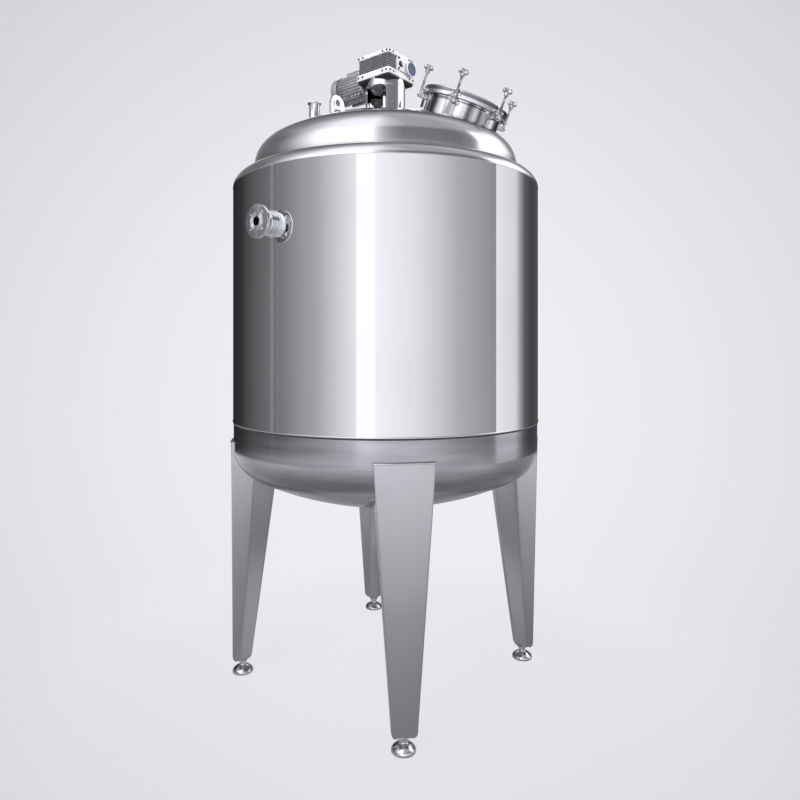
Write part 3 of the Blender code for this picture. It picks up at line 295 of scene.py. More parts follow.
def mesh_of(name: str, grids: Sequence[Grid], sharp: float = EDGE) -> bpy.types.Mesh:
    """Joins grids into one smooth mesh with a UV map in metres.

    A face has its corners at (i, j), (i, j+1), (i+1, j+1) and (i+1, j). u is the mean length
    along the rows up to that column, and v the mean length along the columns up to that row.

    Args:
        name: Name of the mesh.
        grids: The surfaces.
        sharp: Angle over which an edge shows as an edge.

    Returns:
        The mesh, with doubles merged and faces pointing outwards.
    """
    points, faces, corners, count = [], [], [], 0
    for grid in grids:
        rows, cols, _ = grid.points.shape
        first = count
        ring = np.concatenate([grid.points, grid.points[:, :1]], axis=1)
        stack = np.concatenate([grid.points, grid.points[:1]], axis=0)
        u = np.linalg.norm(np.diff(ring, axis=1), axis=2).mean(axis=0)
        v = np.linalg.norm(np.diff(stack, axis=0), axis=2).mean(axis=1)
        u, v = np.concatenate([[0.0], np.cumsum(u)]), np.concatenate([[0.0], np.cumsum(v)])
        i, j = np.meshgrid(np.arange(rows if grid.loop else rows - 1),
                           np.arange(cols if grid.wrap else cols - 1), indexing="ij")
        i, j = i.ravel(), j.ravel()
        spots = [(i, j), (i, j + 1), (i + 1, j + 1), (i + 1, j)]
        faces += np.stack([a % rows * cols + b % cols + first for a, b in spots], 1).tolist()
        corners.append(np.stack([np.stack([u[b], v[a]], 1) for a, b in spots], 1).reshape(-1, 2))
        points.append(grid.points.reshape(-1, 3))
        count += rows * cols
        for row in (0, rows - 1) if grid.caps else ():
            at = first + row * cols + np.arange(cols)
            faces += np.stack([at, np.roll(at, -1), np.full(cols, count)], 1).tolist()
            middle = grid.points[row].mean(axis=0)
            near = (grid.points[row] - middle)[:, :2]
            fan = np.stack([near, np.roll(near, -1, axis=0), np.zeros_like(near)], 1)
            corners.append(fan.reshape(-1, 2))
            points.append(middle[None])
            count += 1
    mesh = bpy.data.meshes.new(name)
    mesh.from_pydata(np.concatenate(points).tolist(), [], faces)
    layer = mesh.uv_layers.new(name="metres")
    layer.data.foreach_set("uv", np.concatenate(corners).ravel())
    bm = bmesh.new()
    bm.from_mesh(mesh)
    bmesh.ops.remove_doubles(bm, verts=bm.verts, dist=1e-6)
    bmesh.ops.recalc_face_normals(bm, faces=bm.faces)
    bm.to_mesh(mesh)
    bm.free()
    mesh.shade_smooth()
    mesh.set_sharp_from_angle(angle=math.radians(sharp))
    return mesh


def put(name: str, data: bpy.types.ID) -> Item:
    """Adds an object to the scene, at the origin.

    Args:
        name: Its name.
        data: Its mesh, light or camera.

    Returns:
        The object.
    """
    item = bpy.data.objects.new(name, data)
    bpy.context.scene.collection.objects.link(item)
    return item


def piece(name: str, grids: Sequence[Grid], finish: Finish, stands_for: str = "",
          matrix: Matrix | None = None, body: str = "tank",
          sharp: float = EDGE) -> Item:
    """Makes one finished piece that rides on a body.

    Args:
        name: Name of the piece.
        grids: Its surfaces.
        finish: Its finish.
        stands_for: The CAD node that it replaces, if any.
        matrix: Where the grids are placed.
        body: The body that it moves with.
        sharp: Angle over which an edge shows as an edge.

    Returns:
        The object, at the origin.
    """
    if matrix is not None:
        grids = [grid.moved(matrix) for grid in grids]
    item = put(name, mesh_of(name, grids, sharp))
    item.data.materials.append(finish.material())
    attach(item, body)
    if stands_for:
        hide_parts(stands_for)
    log.info("%s: %d faces", name, len(item.data.polygons))
    return item


def weld(name: str, beads: Sequence[Grid], matrix: Matrix | None = None, finish: Finish = WELD,
         body: str = "tank") -> Item:
    """Makes a piece of beads, which look round."""
    return piece(name, beads, finish, "", matrix, body, ROUND_EDGE)


def spin(degrees: float, axis: str = "Z") -> Matrix:
    """A turn about a named axis."""
    return Matrix.Rotation(math.radians(degrees), 4, axis)


def shift(x: float = 0.0, y: float = 0.0, z: float = 0.0) -> Matrix:
    """A move without a turn."""
    return Matrix.Translation((x, y, z))


def bearings(count: int, start: float = 0.0) -> Array:
    """Even angles round a full circle, in radians."""
    return np.linspace(start, start + FULL, count, endpoint=False)


def box(inner: float, outer: float, low: float, high: float, *soft: float) -> Corners:
    """Corners between two radii and two heights from (inner, low), with four roundings or none."""
    spots = ((inner, low), (outer, low), (outer, high), (inner, high))
    return [(*spot, r) for spot, r in zip(spots, soft or (0.0,) * 4)]


def arc(radius: float, start: float, end: float, count: int, y: float = 0.0) -> Corners:
    """Points (r cos a, y + r sin a) between two angles in radians."""
    return [(radius * math.cos(a), y + radius * math.sin(a))
            for a in np.linspace(start, end, count)]


def rounded(corners: Corners, closed: bool = True, steps: int = 4) -> Array:
    """A polyline with its corners rounded.

    Each corner (x, y, r) becomes the curve (1-t)^2 A + 2 t (1-t) C + t^2 B, where C is the corner
    and A and B lie r away from it on its two sides, and t runs from 0 to 1. A corner without an
    r stays sharp.

    Args:
        corners: Points with the rounding at each.
        closed: Whether the last point joins the first.
        steps: Points on each rounding.

    Returns:
        Points (n, 2).
    """
    points = np.array([c[:2] for c in corners], float)
    reach = np.array([c[2] if len(c) > 2 else 0.0 for c in corners], float)
    before = np.roll(points, 1, axis=0) - points
    after = np.roll(points, -1, axis=0) - points
    before /= np.maximum(np.linalg.norm(before, axis=1, keepdims=True), 1e-9)
    after /= np.maximum(np.linalg.norm(after, axis=1, keepdims=True), 1e-9)
    if not closed:
        reach[0] = reach[-1] = 0.0
    t = np.linspace(0.0, 1.0, steps)[None, :, None]
    start = (points + before * reach[:, None])[:, None]
    end = (points + after * reach[:, None])[:, None]
    made = (1 - t) ** 2 * start + 2 * t * (1 - t) * points[:, None] + t ** 2 * end
    keep = np.where(reach > 0, steps, 1)
    return np.concatenate([made[i, :keep[i]] for i in range(len(points))])


def turned(profile: Array, steps: int = 96, angles: Array | None = None,
           loop: bool = True) -> Grid:
    """A surface of revolution: (r cos a, r sin a, z) for each profile point (r, z).

    Args:
        profile: Points (n, 2), as radius and height.
        steps: Columns round the axis.
        angles: The columns' angles, when they aren't evenly spaced.
        loop: Whether the profile is closed.

    Returns:
        The grid, with the profile along its rows.
    """
    a = bearings(steps) if angles is None else angles
    r, z = profile[:, 0][:, None], profile[:, 1][:, None]
    return Grid(np.stack([r * np.cos(a), r * np.sin(a), z + 0.0 * a], 2), True, loop)


def lathe(corners: Corners, columns: int, closed: bool = True, steps: int = 4) -> Grid:
    """A surface of revolution of a rounded outline of (radius, height, rounding)."""
    return turned(rounded(corners, closed, steps), columns, loop=closed)


def outline(radii: Array | float, count: int) -> Array:
    """A closed outline (r cos a, r sin a), r being one value or one for each angle."""
    a = bearings(count)
    return np.stack([radii * np.cos(a), radii * np.sin(a)], 1)


def circle(radius: float, count: int = 48) -> Array:
    """A closed outline (radius cos a, radius sin a)."""
    return outline(radius, count)


def hoop(radius: float, z: float, count: int) -> Array:
    """A circle about Z at a height, as a path of points (n, 3)."""
    return np.column_stack([circle(radius, count), np.full(count, z)])


def polar(line: Array, count: int) -> Array:
    """Reads a closed outline at even angles round the origin, which sees all of it.

    The radius at an angle is interpolated between the outline's points on each side of it.

    Args:
        line: Points (n, 2), dense where it bends.
        count: Angles to read.

    Returns:
        Points (count, 2), the first on the positive X axis.
    """
    ends = np.concatenate([line, line[:1]])
    share = np.linspace(0.0, 1.0, 24, endpoint=False)[None, :, None]
    dense = (ends[:-1, None] * (1 - share) + ends[1:, None] * share).reshape(-1, 2)
    angle = np.arctan2(dense[:, 1], dense[:, 0]) % FULL
    order = np.argsort(angle)
    r = np.interp(bearings(count), angle[order], np.hypot(dense[:, 0], dense[:, 1])[order],
                  period=FULL)
    return outline(r, count)


def rectangle(width: float, height: float, radius: float, count: int = 64) -> Array:
    """A rounded rectangle round the origin, read at even angles.

    Args:
        width: Its width along X.
        height: Its width along Y.
        radius: Rounding of its corners.
        count: Angles to read.

    Returns:
        Points (count, 2).
    """
    w, h = width / 2.0, height / 2.0
    corners = [(w, -h, radius), (w, h, radius), (-w, h, radius), (-w, -h, radius)]
    return polar(rounded(corners, True, 6), count)


def hexagon(across: float, count: int = 24) -> Array:
    """A hexagon of that width across its flats: r = (w/2) / cos(a - nearest flat)."""
    a = bearings(count)
    return outline(across / 2.0 / np.cos((a + FULL / 12.0) % (FULL / 6.0) - FULL / 12.0), count)


def inset(line: Array, depth: float) -> Array:
    """Moves an anticlockwise outline inwards along its normals: p - n d.

    Args:
        line: Points (n, 2).
        depth: Distance d, which is negative to move outwards.

    Returns:
        Points (n, 2).
    """
    way = np.roll(line, -1, axis=0) - np.roll(line, 1, axis=0)
    normal = np.stack([way[:, 1], -way[:, 0]], 1)
    normal /= np.maximum(np.linalg.norm(normal, axis=1, keepdims=True), 1e-12)
    return line - normal * depth


def loft(rings: Sequence[tuple[Array, float]], caps: bool = True, loop: bool = False) -> Grid:
    """Stacks closed outlines, each at its height: (x, y, z) with one row for each outline."""
    rows = [np.column_stack([ring, np.full(len(ring), z)]) for ring, z in rings]
    return Grid(np.stack(rows), True, loop, caps)


def rod(line: Array, low: float, high: float) -> Grid:
    """A straight bar: the same outline at two heights, with its ends closed."""
    return loft([(line, low), (line, high)])


def slab(line: Array, low: float, high: float, edge: float, hole: Array | None = None) -> Grid:
    """A flat plate with rounded edges, and with a hole when one is given.

    The outline is inset by e (1 - sin t) at e (1 - cos t) from each face, for t from 0 to 90
    degrees, where e is the edge radius.

    Args:
        line: Its outline, anticlockwise.
        low: Height of its underside.
        high: Height of its top.
        edge: Radius of its edges.
        hole: The hole's outline, with as many points as the outline.

    Returns:
        The grid.
    """
    under = [(inset(line, edge * (1 - math.sin(s * math.pi / 2))),
              low + edge * (1 - math.cos(s * math.pi / 2))) for s in (0.0, 0.33, 0.67, 1.0)]
    rings = under + [(ring, high + low - z) for ring, z in under[::-1]]
    if hole is None:
        return loft(rings)
    wide = inset(hole, -edge)
    rings += [(wide, high), (hole, high - edge), (hole, low + edge), (wide, low)]
    return loft(rings, False, True)


def ribbon(inner: Array, outer: Array, low: float, high: float, edge: float = 0.8 * MM) -> Grid:
    """A flat strip between two matched lines, with chamfered edges and closed ends.

    A cross-section is an octagon between inner(s) and outer(s) in plan and low and high in height.

    Args:
        inner: Points (n, 2) on one side.
        outer: Points (n, 2) on the other side, matched to them.
        low: Height of the underside.
        high: Height of the top.
        edge: Width of the chamfers.

    Returns:
        The grid, with one row for each pair of points.
    """
    way = outer - inner
    share = edge / np.maximum(np.linalg.norm(way, axis=1), 1e-6)
    zero, one = np.zeros_like(share), np.ones_like(share)
    across = np.stack([share, zero, zero, share, one - share, one, one, one - share], 1)
    tall = np.array([low, low + edge, high - edge, high, high, high - edge, low + edge, low])
    plan = inner[:, None] + across[:, :, None] * way[:, None]
    height = np.broadcast_to(tall, across.shape)[:, :, None]
    return Grid(np.concatenate([plan, height], 2), True, False, True)


def bead(path: Array, radius: float, closed: bool = True, ripple: float = 0.0) -> Grid:
    """A round bead along a path: p + r (N cos a + B sin a).

    N is the direction from the path's middle, made square to the path, and B is square to both.
    The ripple is the share by which r waves along the bead, as weld scales do.

    Args:
        path: Points (n, 3).
        radius: Radius of the bead.
        closed: Whether the path joins up.
        ripple: Share of the radius that waves.

    Returns:
        The grid.
    """
    if closed:
        way = np.roll(path, -1, axis=0) - np.roll(path, 1, axis=0)
    else:
        way = np.gradient(path, axis=0)
    way /= np.linalg.norm(way, axis=1, keepdims=True)
    out = path - path.mean(axis=0)
    out -= way * (out * way).sum(1, keepdims=True)
    out /= np.maximum(np.linalg.norm(out, axis=1, keepdims=True), 1e-9)
    side = np.cross(way, out)
    a = bearings(10)[None, :, None]
    wave = radius * (1.0 + ripple * np.sin(np.arange(len(path)) * FULL / 3.0))
    ring = out[:, None] * np.cos(a) + side[:, None] * np.sin(a)
    return Grid(path[:, None] + wave[:, None, None] * ring, True, closed, not closed)


def thread(radius: float, pitch: float, low: float, high: float) -> Grid:
    """A screw thread: r = R - d |2 frac(z / pitch - a / 360) - 1|, with d = 0.6 pitch.

    Args:
        radius: Outside radius R.
        pitch: Height of a turn.
        low: Height at which it starts.
        high: Height at which it ends.

    Returns:
        The grid, closed at both ends.
    """
    rows = max(4, int((high - low) / (pitch / 4.0)))
    z, a = np.linspace(low, high, rows)[:, None], bearings(24)[None, :]
    r = radius - 0.6 * pitch * np.abs(2.0 * ((z / pitch - a / FULL) % 1.0) - 1.0)
    return Grid(np.stack([r * np.cos(a), r * np.sin(a), z + 0.0 * a], 2), True, False, True)


class Head(Enum):
    """Kinds of screw head."""

    HEX = "hexagon head with a chamfer"
    SOCKET = "round head with a hexagon socket"
    NUT = "hexagon nut with the screw's end standing out of it"


def screw(kind: Head, size: float) -> list[Grid]:
    """A screw head or nut on the plane z = 0, pointing up, in shares of its size.

    Args:
        kind: The kind of head.
        size: Thread diameter.

    Returns:
        Grids of the head.
    """
    if kind is Head.SOCKET:
        r, h, socket = 0.75 * size, size, hexagon(0.8 * size)
        return [loft([(circle(r, 24), 0.0), (circle(r, 24), h - 0.1 * size),
                      (circle(r - 0.1 * size, 24), h), (socket * 1.05, h),
                      (socket, h - 0.05 * size), (socket, 0.45 * h)])]
    flats = hexagon(1.6 * size)
    h = 0.65 * size if kind is Head.HEX else 0.8 * size
    cropped = np.minimum(1.0, 0.76 * size / np.hypot(flats[:, 0], flats[:, 1]))[:, None] * flats
    grids = [loft([(flats, 0.0), (flats, h - 0.1 * size), (polar(cropped, 24), h)])]
    if kind is Head.NUT:
        grids.append(thread(size / 2.0, 0.16 * size, 0.0, 1.4 * size))
    return grids


def around(grids: Sequence[Grid], matrices: Sequence[Matrix]) -> list[Grid]:
    """The same grids at each of several places."""
    return [grid.moved(m) for m in matrices for grid in grids]


def cut(item: Item, cutters: Sequence[Grid]) -> None:
    """Cuts closed surfaces out of a piece and keeps the result as its mesh.

    Args:
        item: The piece.
        cutters: Closed surfaces.
    """
    tools = [put("cutter", mesh_of("cutter", [grid])) for grid in cutters]
    for tool in tools:
        step = item.modifiers.new("cut", "BOOLEAN")
        step.object, step.operation, step.solver = tool, "DIFFERENCE", "EXACT"
    graph = bpy.context.evaluated_depsgraph_get()
    made = bpy.data.meshes.new_from_object(item.evaluated_get(graph))
    item.modifiers.clear()
    item.data = made
    made.set_sharp_from_angle(angle=math.radians(EDGE))
    for tool in tools:
        bpy.data.objects.remove(tool, do_unlink=True)


# ---------------------------------------------------------------- the tank


def head_line(radius: float, offset: float = 0.0, start: float = 0.0, count: int = 40) -> Array:
    """A torispherical head's curve, as (radius, height over its tangent line).

    The crown is an arc of radius 2 R about the axis and the knuckle an arc of radius 0.2 R that
    meets crown and flange without a corner. The offset moves both along their normals.

    Args:
        radius: Outside radius R of the head.
        offset: Distance outwards, or inwards when negative.
        start: Radius at which the curve starts.
        count: Points on the crown. The knuckle has half as many.

    Returns:
        Points (n, 2) from the axis out.
    """
    crown, knuckle = 2.0 * radius, 0.2 * radius
    across = radius - knuckle
    meet = math.asin(across / (crown - knuckle))
    centre = -math.sqrt((crown - knuckle) ** 2 - across ** 2)
    a = np.linspace(math.asin(start / (crown + offset)), meet, count)
    b = np.linspace(meet, math.pi / 2.0, count // 2)[1:]
    top = np.stack([(crown + offset) * np.sin(a), centre + (crown + offset) * np.cos(a)], 1)
    bend = np.stack([across + (knuckle + offset) * np.sin(b), (knuckle + offset) * np.cos(b)], 1)
    return np.concatenate([top, bend])


@dataclass
class Vessel:
    """Mirror-polished shell between a shoulder ring and a dished bottom, and the top head."""

    shell_r: float = 0.750
    shell_t: float = 0.0025
    shell_low: float = 1.244
    shell_high: float = 2.362
    hem: float = 0.0012
    vessel_r: float = 0.650
    vessel_t: float = 0.004
    top_tangent: float = 2.4765
    rim_z: float = 2.440
    shoulder_rise: float = 0.070
    lap: float = 0.015
    base_r: float = 0.7472
    base_t: float = 0.003
    base_tangent: float = 1.122
    pad_bore: float = 0.034
    outlet_hole: float = 0.0258
    neck_hole: float = 0.1843
    seam_azimuth: float = -132.5
    seam_width: float = 0.0045
    seam_height: float = 0.0005
    steps: int = 256

    def top_z(self, r: Array | float) -> Array:
        """Height of the top head's outside at a radius, read from its curve."""
        line = head_line(self.vessel_r, count=200)
        return self.top_tangent + np.interp(r, line[:, 0], line[:, 1])

    def base_z(self, r: Array | float) -> Array:
        """Height of the bottom head's outside at a radius, read from its curve."""
        line = head_line(self.base_r, count=200)
        return self.base_tangent - np.interp(r, line[:, 0], line[:, 1])

    def build_shell(self) -> None:
        """The shell with its long seam: a ridge r = R + h exp(-(s / w)^2) along one line."""
        seam = math.radians(self.seam_azimuth)
        near = seam + np.linspace(-3.0, 3.0, 19) * self.seam_width / self.shell_r
        a = np.concatenate([near, bearings(self.steps, seam)[2:-1]])
        lift = self.seam_height * np.exp(-((a - seam) * self.shell_r / self.seam_width) ** 2)
        low, high, r = self.shell_low, self.shell_high - SEAT, self.shell_r
        rows = [(r - self.hem, high), (r, high - self.hem)]
        rows += [(r, z) for z in np.linspace(high - self.hem, low + self.hem, 6)[1:]]
        rows += [(r - self.hem, low), (r - self.shell_t, low), (r - self.shell_t, high)]
        outer = np.zeros((len(rows), 1))
        outer[1:7] = 1.0
        way = np.stack([np.cos(a), np.sin(a), 0.0 * a], 1)
        points = turned(np.array(rows), angles=a).points
        points = points + (outer * lift)[:, :, None] * way[None]
        piece("shell_sheet", [Grid(points, True, True)], MIRROR_SHEET, "cladding_shell")
        self.ring_bead("shell_hem", r - 0.0012, low + 0.0025, 0.0036, TURNED)
        # A dark ring as painted shadow in the gap between the shell and the bottom head
        self.ring_bead("shell_gap_painted_shadow", self.base_r - 0.0012, low - 0.0042, 0.0034, PAINTED_SHADOW_GAP)
        self.ring_bead("shell_top_bead", r - 0.0005, self.shell_high, 0.0016)

    def ring_bead(self, name: str, r: float, z: float, size: float,
                  finish: Finish = WELD) -> None:
        """A round bead about the tank's axis, where two of its sheets meet."""
        weld(name, [bead(hoop(r, z, 720), size)], finish=finish)

    def build_shoulder(self) -> None:
        """The shoulder: a quarter ellipse (ri + w cos a, z + h sin a) with a lip in the shell."""
        a = np.linspace(math.pi / 2.0, 0.0, 28)
        t, base, inner = self.shell_t, self.shell_high, self.vessel_r + SEAT
        wide, rise = self.shell_r - inner, self.shoulder_rise
        out, back = (np.stack([inner + (wide - s) * np.cos(a), base + (rise - s) * np.sin(a)], 1)
                     for s in (0.0, t))
        lip = base - self.lap
        lap = [(self.base_r, base), (self.base_r, lip), (self.base_r - t, lip),
               (self.base_r - t, base)]
        profile = np.concatenate([out, lap, back[:-1][::-1]])
        piece("shoulder_sheet", [turned(profile, self.steps)], SPUN_HEAD, "shoulder_ring")
        self.ring_bead("shoulder_bead", self.vessel_r + 0.001, base + rise, 0.0032)

    def dish(self, radius: float, wall: float, bore: float, rim: float, way: float,
             tangent: float) -> Grid:
        """A torispherical head of even thickness, from a bore at its axis to its rim.

        Args:
            radius: Its outside radius.
            wall: Its thickness.
            bore: Radius of the bore.
            rim: Height of its rim.
            way: 1 for a head that bulges up and -1 for one that bulges down.
            tangent: Height of its tangent line.

        Returns:
            The grid.
        """
        out, back = (head_line(radius, offset, bore) * (1.0, way) + (0.0, tangent)
                     for offset in (0.0, -wall))
        ends = [(radius, rim), (radius - wall, rim)]
        return turned(np.concatenate([out, ends, back[::-1]]), self.steps)

    def build_heads(self) -> None:
        """The top head, open at the drive, the manway and the vent, and the bottom head."""
        top = self.dish(self.vessel_r, self.vessel_t, self.pad_bore, self.rim_z, 1.0,
                        self.top_tangent)
        head = piece("top_dish", [top], SPUN_HEAD, "top_head")
        cut(head, [rod(circle(self.neck_hole, 96), -0.12, 0.12).moved(MANWAY_FRAME),
                   rod(circle(self.outlet_hole, 32), 2.4, 2.8).moved(VENT_FRAME)])
        base = self.dish(self.base_r, self.base_t, self.outlet_hole, self.shell_low + self.lap,
                         -1.0, self.base_tangent)
        # The bottom head's darker colour is painted shade
        piece("bottom_dish", [base], HEAD_PAINTED_SHADE, "bottom_head")

    def build(self) -> None:
        """Builds all of it."""
        self.build_shell()
        self.build_shoulder()
        self.build_heads()


@dataclass
class Leg:
    """A folded, tapered leg with a closed foot end, welded to the bottom head.

    top and low hold the outline's width, its sides' depth, its slants' depth and the width of
    its back, at the leg's top and at its lower end.
    """

    number: int
    azimuth: float
    face_r: float = 0.757
    top_z: float = 1.148
    end_z: float = 0.092
    low_z: float = 0.067
    top: tuple[float, float, float, float] = (0.251, 0.125, 0.112, 0.086)
    low: tuple[float, float, float, float] = (0.103, 0.046, 0.044, 0.040)
    fold: float = 0.008
    crown: float = 0.007
    end_inset: float = 0.018
    edge: float = 0.0015
    foot_r: float = 0.708
    nut_across: float = 0.040

    def section(self, share: float) -> Array:
        """The rounded six-sided outline, its front crowned by x = X - c (2 y / w)^2.

        Args:
            share: Share of the height, 0 at the foot and 1 on top.

        Returns:
            Points (n, 2).
        """
        width, side, slant, narrow = (l + (t - l) * share for l, t in zip(self.low, self.top))
        x, w, n, r = self.face_r, width / 2.0, narrow / 2.0, self.fold
        f, b = x - side, x - side - slant
        front = [(x - self.crown * (2.0 * v / width) ** 2, v, r if abs(v) >= w else 0.0)
                 for v in np.linspace(-w, w, 15)]
        return rounded(front + [(f, w, r), (b, n, r), (b, -n, r), (f, -w, r)], True, 6)

    def build(self, vessel: Vessel) -> None:
        """Stacks the outlines, closes the foot end by a rounded taper, adds weld and foot.

        Args:
            vessel: The vessel that it carries.
        """
        share = np.linspace((self.end_z - self.low_z) / (self.top_z - self.low_z), 1.0, 12)
        height = self.low_z + (self.top_z - self.low_z) * share
        end = self.section(share[0])
        rings = [(inset(end, self.end_inset * (1.0 - math.sin(a))),
                  self.end_z - (self.end_z - self.low_z) * math.cos(a))
                 for a in np.linspace(0.0, math.pi / 2.0, 7)[:-1]]
        rings += [(self.section(s), z) for s, z in zip(share[:-1], height)]
        rings += [(self.section(1.0), self.top_z - self.edge),
                  (inset(self.section(1.0), self.edge), self.top_z)]
        name, turn = f"leg_{self.number}", spin(self.azimuth)
        piece(name + "_plate", [loft(rings)], LEG_PLATE, name, turn)
        self.build_weld(vessel, turn)
        self.build_foot(turn @ shift(x=self.foot_r))

    def build_weld(self, vessel: Vessel, turn: Matrix) -> None:
        """The weld where the leg meets the bottom head, and the one along its top edge.

        On each line from the foot to the top of the outline, the height where the line enters
        the head is found by halving, for all lines at once.

        Args:
            vessel: The vessel that it carries.
            turn: The leg's place.
        """
        low, high = self.section(0.0), self.section(1.0)
        bottom, top = np.zeros(len(low)), np.ones(len(low))
        for _ in range(24):
            middle = (bottom + top) / 2.0
            at = low + (high - low) * middle[:, None]
            z = self.low_z + (self.top_z - self.low_z) * middle
            inside = z > vessel.base_z(np.hypot(at[:, 0], at[:, 1]))
            top, bottom = np.where(inside, middle, top), np.where(inside, bottom, middle)
        at = low + (high - low) * top[:, None]
        z = self.low_z + (self.top_z - self.low_z) * top
        met = (np.hypot(at[:, 0], at[:, 1]) < vessel.base_r - 0.002) & (top < 0.999)
        first = int(np.argmax(met & ~np.roll(met, 1)))
        line = np.roll(np.column_stack([at, z]), -first, axis=0)[np.roll(met, -first)]
        s = np.concatenate([[0.0], np.cumsum(np.linalg.norm(np.diff(line, axis=0), axis=1))])
        even = np.linspace(0.0, s[-1], 160)
        line = np.stack([np.interp(even, s, line[:, k]) for k in range(3)], 1)
        outside = np.hypot(high[:, 0], high[:, 1]) > vessel.base_r - 0.004
        first = int(np.argmax(outside & ~np.roll(outside, 1)))
        edge = np.roll(high, -first, axis=0)[:int(outside.sum())]
        edge = np.column_stack([edge, np.full(len(edge), self.top_z - self.edge)])
        weld(f"leg_{self.number}_weld",
             [bead(line, 0.0030, False, 0.12), bead(edge, 0.0034, False)], turn)

    def build_foot(self, place: Matrix) -> None:
        """The levelling foot: a stem that flares into a round pad, with a jam nut on top.

        Args:
            place: The foot's place on the ground.
        """
        line = [(0.0, 0.0667), (0.0150, 0.0667), (0.0150, 0.036, 0.006), (0.030, 0.030, 0.008),
                (0.047, 0.017, 0.008), (0.050, 0.009, 0.003), (0.050, 0.0, 0.0015), (0.0, 0.0)]
        name, flats = f"foot_{self.number}", hexagon(self.nut_across)
        piece(name + "_pad", [lathe(line, 64, False, 8)], TURNED, name, place)
        small = inset(flats, 0.002)
        nut = loft([(small, 0.050), (flats, 0.0515), (flats, 0.0600), (small, 0.0615)])
        piece(name + "_nut", [nut], TURNED, "", place)


@dataclass
class Fittings:
    """Bottom outlet, vent, jacket nozzle and lifting lugs."""

    outlet: tuple[float, float, float] = (0.9221, 0.8131, 0.006)
    vent: tuple[float, float, float] = (2.6385, 2.740, 0.0065)
    ferrule_r: float = 0.0255
    nozzle_azimuth: float = -135.0
    nozzle_z: float = 2.115
    face_r: float = 0.832
    flange_r: float = 0.070
    flange_t: float = 0.014
    hole_r: float = 0.009
    hole_circle: float = 0.050
    sleeve_r: float = 0.054
    bore: float = 0.0193
    pipe_r: float = 0.0212
    lugs: tuple[float, float] = (-135.0, 45.0)
    lug_r: float = 0.355
    lug_half: float = 0.045
    lug_t: float = 0.012
    eye_r: float = 0.015
    eye_rise: float = 0.050
    ripple: float = 0.12

    def ferrule(self, name: str, sizes: tuple[float, float, float], matrix: Matrix,
                node: str) -> None:
        """A pipe with a clamp rim: flat face with a gasket groove, and a bevelled back.

        Args:
            name: Name of the piece.
            sizes: Heights of its plain end and of its face, and thickness of its rim.
            matrix: Its place.
            node: The CAD node that it replaces.
        """
        other, face, rim = sizes
        back = math.copysign(1.0, other - face)
        groove = face + back * 0.0012
        line = [(0.0235, other), (0.0235, face, 0.0006), (0.0268, face), (0.0275, groove),
                (0.0292, groove), (0.0299, face), (0.0320, face, 0.0005),
                (0.0320, face + back * rim * 0.5, 0.0006),
                (self.ferrule_r, face + back * rim * 1.05, 0.0015), (self.ferrule_r, other)]
        piece(name, [lathe(line, 64)], TURNED, node, matrix)

    def build_nozzle(self, vessel: Vessel) -> None:
        """The flanged nozzle: sleeve, pipe, a flange with a ringed face, and its welds.

        The weld on the shell follows (y, x, sqrt(R^2 - x^2)) for x and y on a circle.

        Args:
            vessel: The vessel with its shell.
        """
        along = spin(self.nozzle_azimuth) @ shift(z=self.nozzle_z) @ spin(90.0, "Y")
        face, bore, inner = self.face_r, self.bore, 0.0225
        back = face - self.flange_t
        sleeve = [(inner, 0.735), (self.sleeve_r, 0.735), (self.sleeve_r, 0.791, 0.007),
                  (inner, 0.800)]
        piece("nozzle_neck", [lathe(sleeve, 72, steps=6)], BUFFED, "nozzle_sleeve", along)
        end = back - 0.0001
        pipe = [(self.pipe_r, end), (self.pipe_r, 0.665), (bore, 0.665), (bore, end)]
        piece("nozzle_tube", [lathe(pipe, 48)], TURNED, "nozzle_pipe", along)
        grooves = []
        for r in np.linspace(0.0375, 0.0225, 6):
            grooves += [(r, face), (r - 0.0008, face - 0.0008), (r - 0.0016, face)]
        line = [(bore, back), (self.flange_r, back, 0.0015), (self.flange_r, face - 0.002, 0.0015),
                (0.0392, face - 0.002, 0.0004), (0.0390, face, 0.0004)] + grooves
        flange = piece("nozzle_ring_flange", [lathe(line + [(bore, face, 0.0012)], 128)], TURNED,
                       "nozzle_flange", along)
        hole = rod(circle(self.hole_r, 32), face - 0.03, face + 0.03)
        cut(flange, around([hole], [along @ spin(45.0 + 90.0 * i) @ shift(x=self.hole_circle)
                                    for i in range(4)]))
        y, x = outline(self.sleeve_r + 0.0005, 180).T
        path = np.stack([y, x, np.sqrt(vessel.shell_r ** 2 - x ** 2)], 1)
        weld("nozzle_welds", [bead(path, 0.0035, True, 0.10),
                              bead(hoop(inner, 0.8005, 180), 0.0025, True, 0.10),
                              bead(hoop(0.0222, end - 0.0005, 180), 0.0022, True, 0.10)], along)

    def build_lugs(self, vessel: Vessel) -> None:
        """Lifting lugs: upright plates with a round top and an eye, each on its weld.

        Args:
            vessel: The vessel with its top head.
        """
        eye, wide, half = float(vessel.top_z(self.lug_r)) + self.eye_rise, self.lug_half, 60
        line = [(-wide, -0.075), (wide, -0.075)] + arc(wide, *HALF_TURN, 17, -0.009)
        plate = slab(polar(rounded(line), 96), -self.lug_t / 2.0, self.lug_t / 2.0, 0.0012,
                     circle(self.eye_r, 96))
        s, side = np.linspace(-wide, wide, half), self.lug_t / 2.0 + 0.0005
        t = np.concatenate([np.full(half, -side), np.full(half, side)])
        r = self.lug_r + np.concatenate([s, s[::-1]])
        path = np.stack([r, t, vessel.top_z(np.hypot(r, t))], 1)
        for number, azimuth in enumerate(self.lugs, 1):
            stand = spin(azimuth) @ shift(x=self.lug_r, z=eye) @ spin(90.0, "X")
            piece(f"lug_{number}_plate", [plate], BUFFED, f"lifting_lug_{number}", stand)
            weld(f"lug_{number}_weld", [bead(path, 0.0028, True, self.ripple)], spin(azimuth))

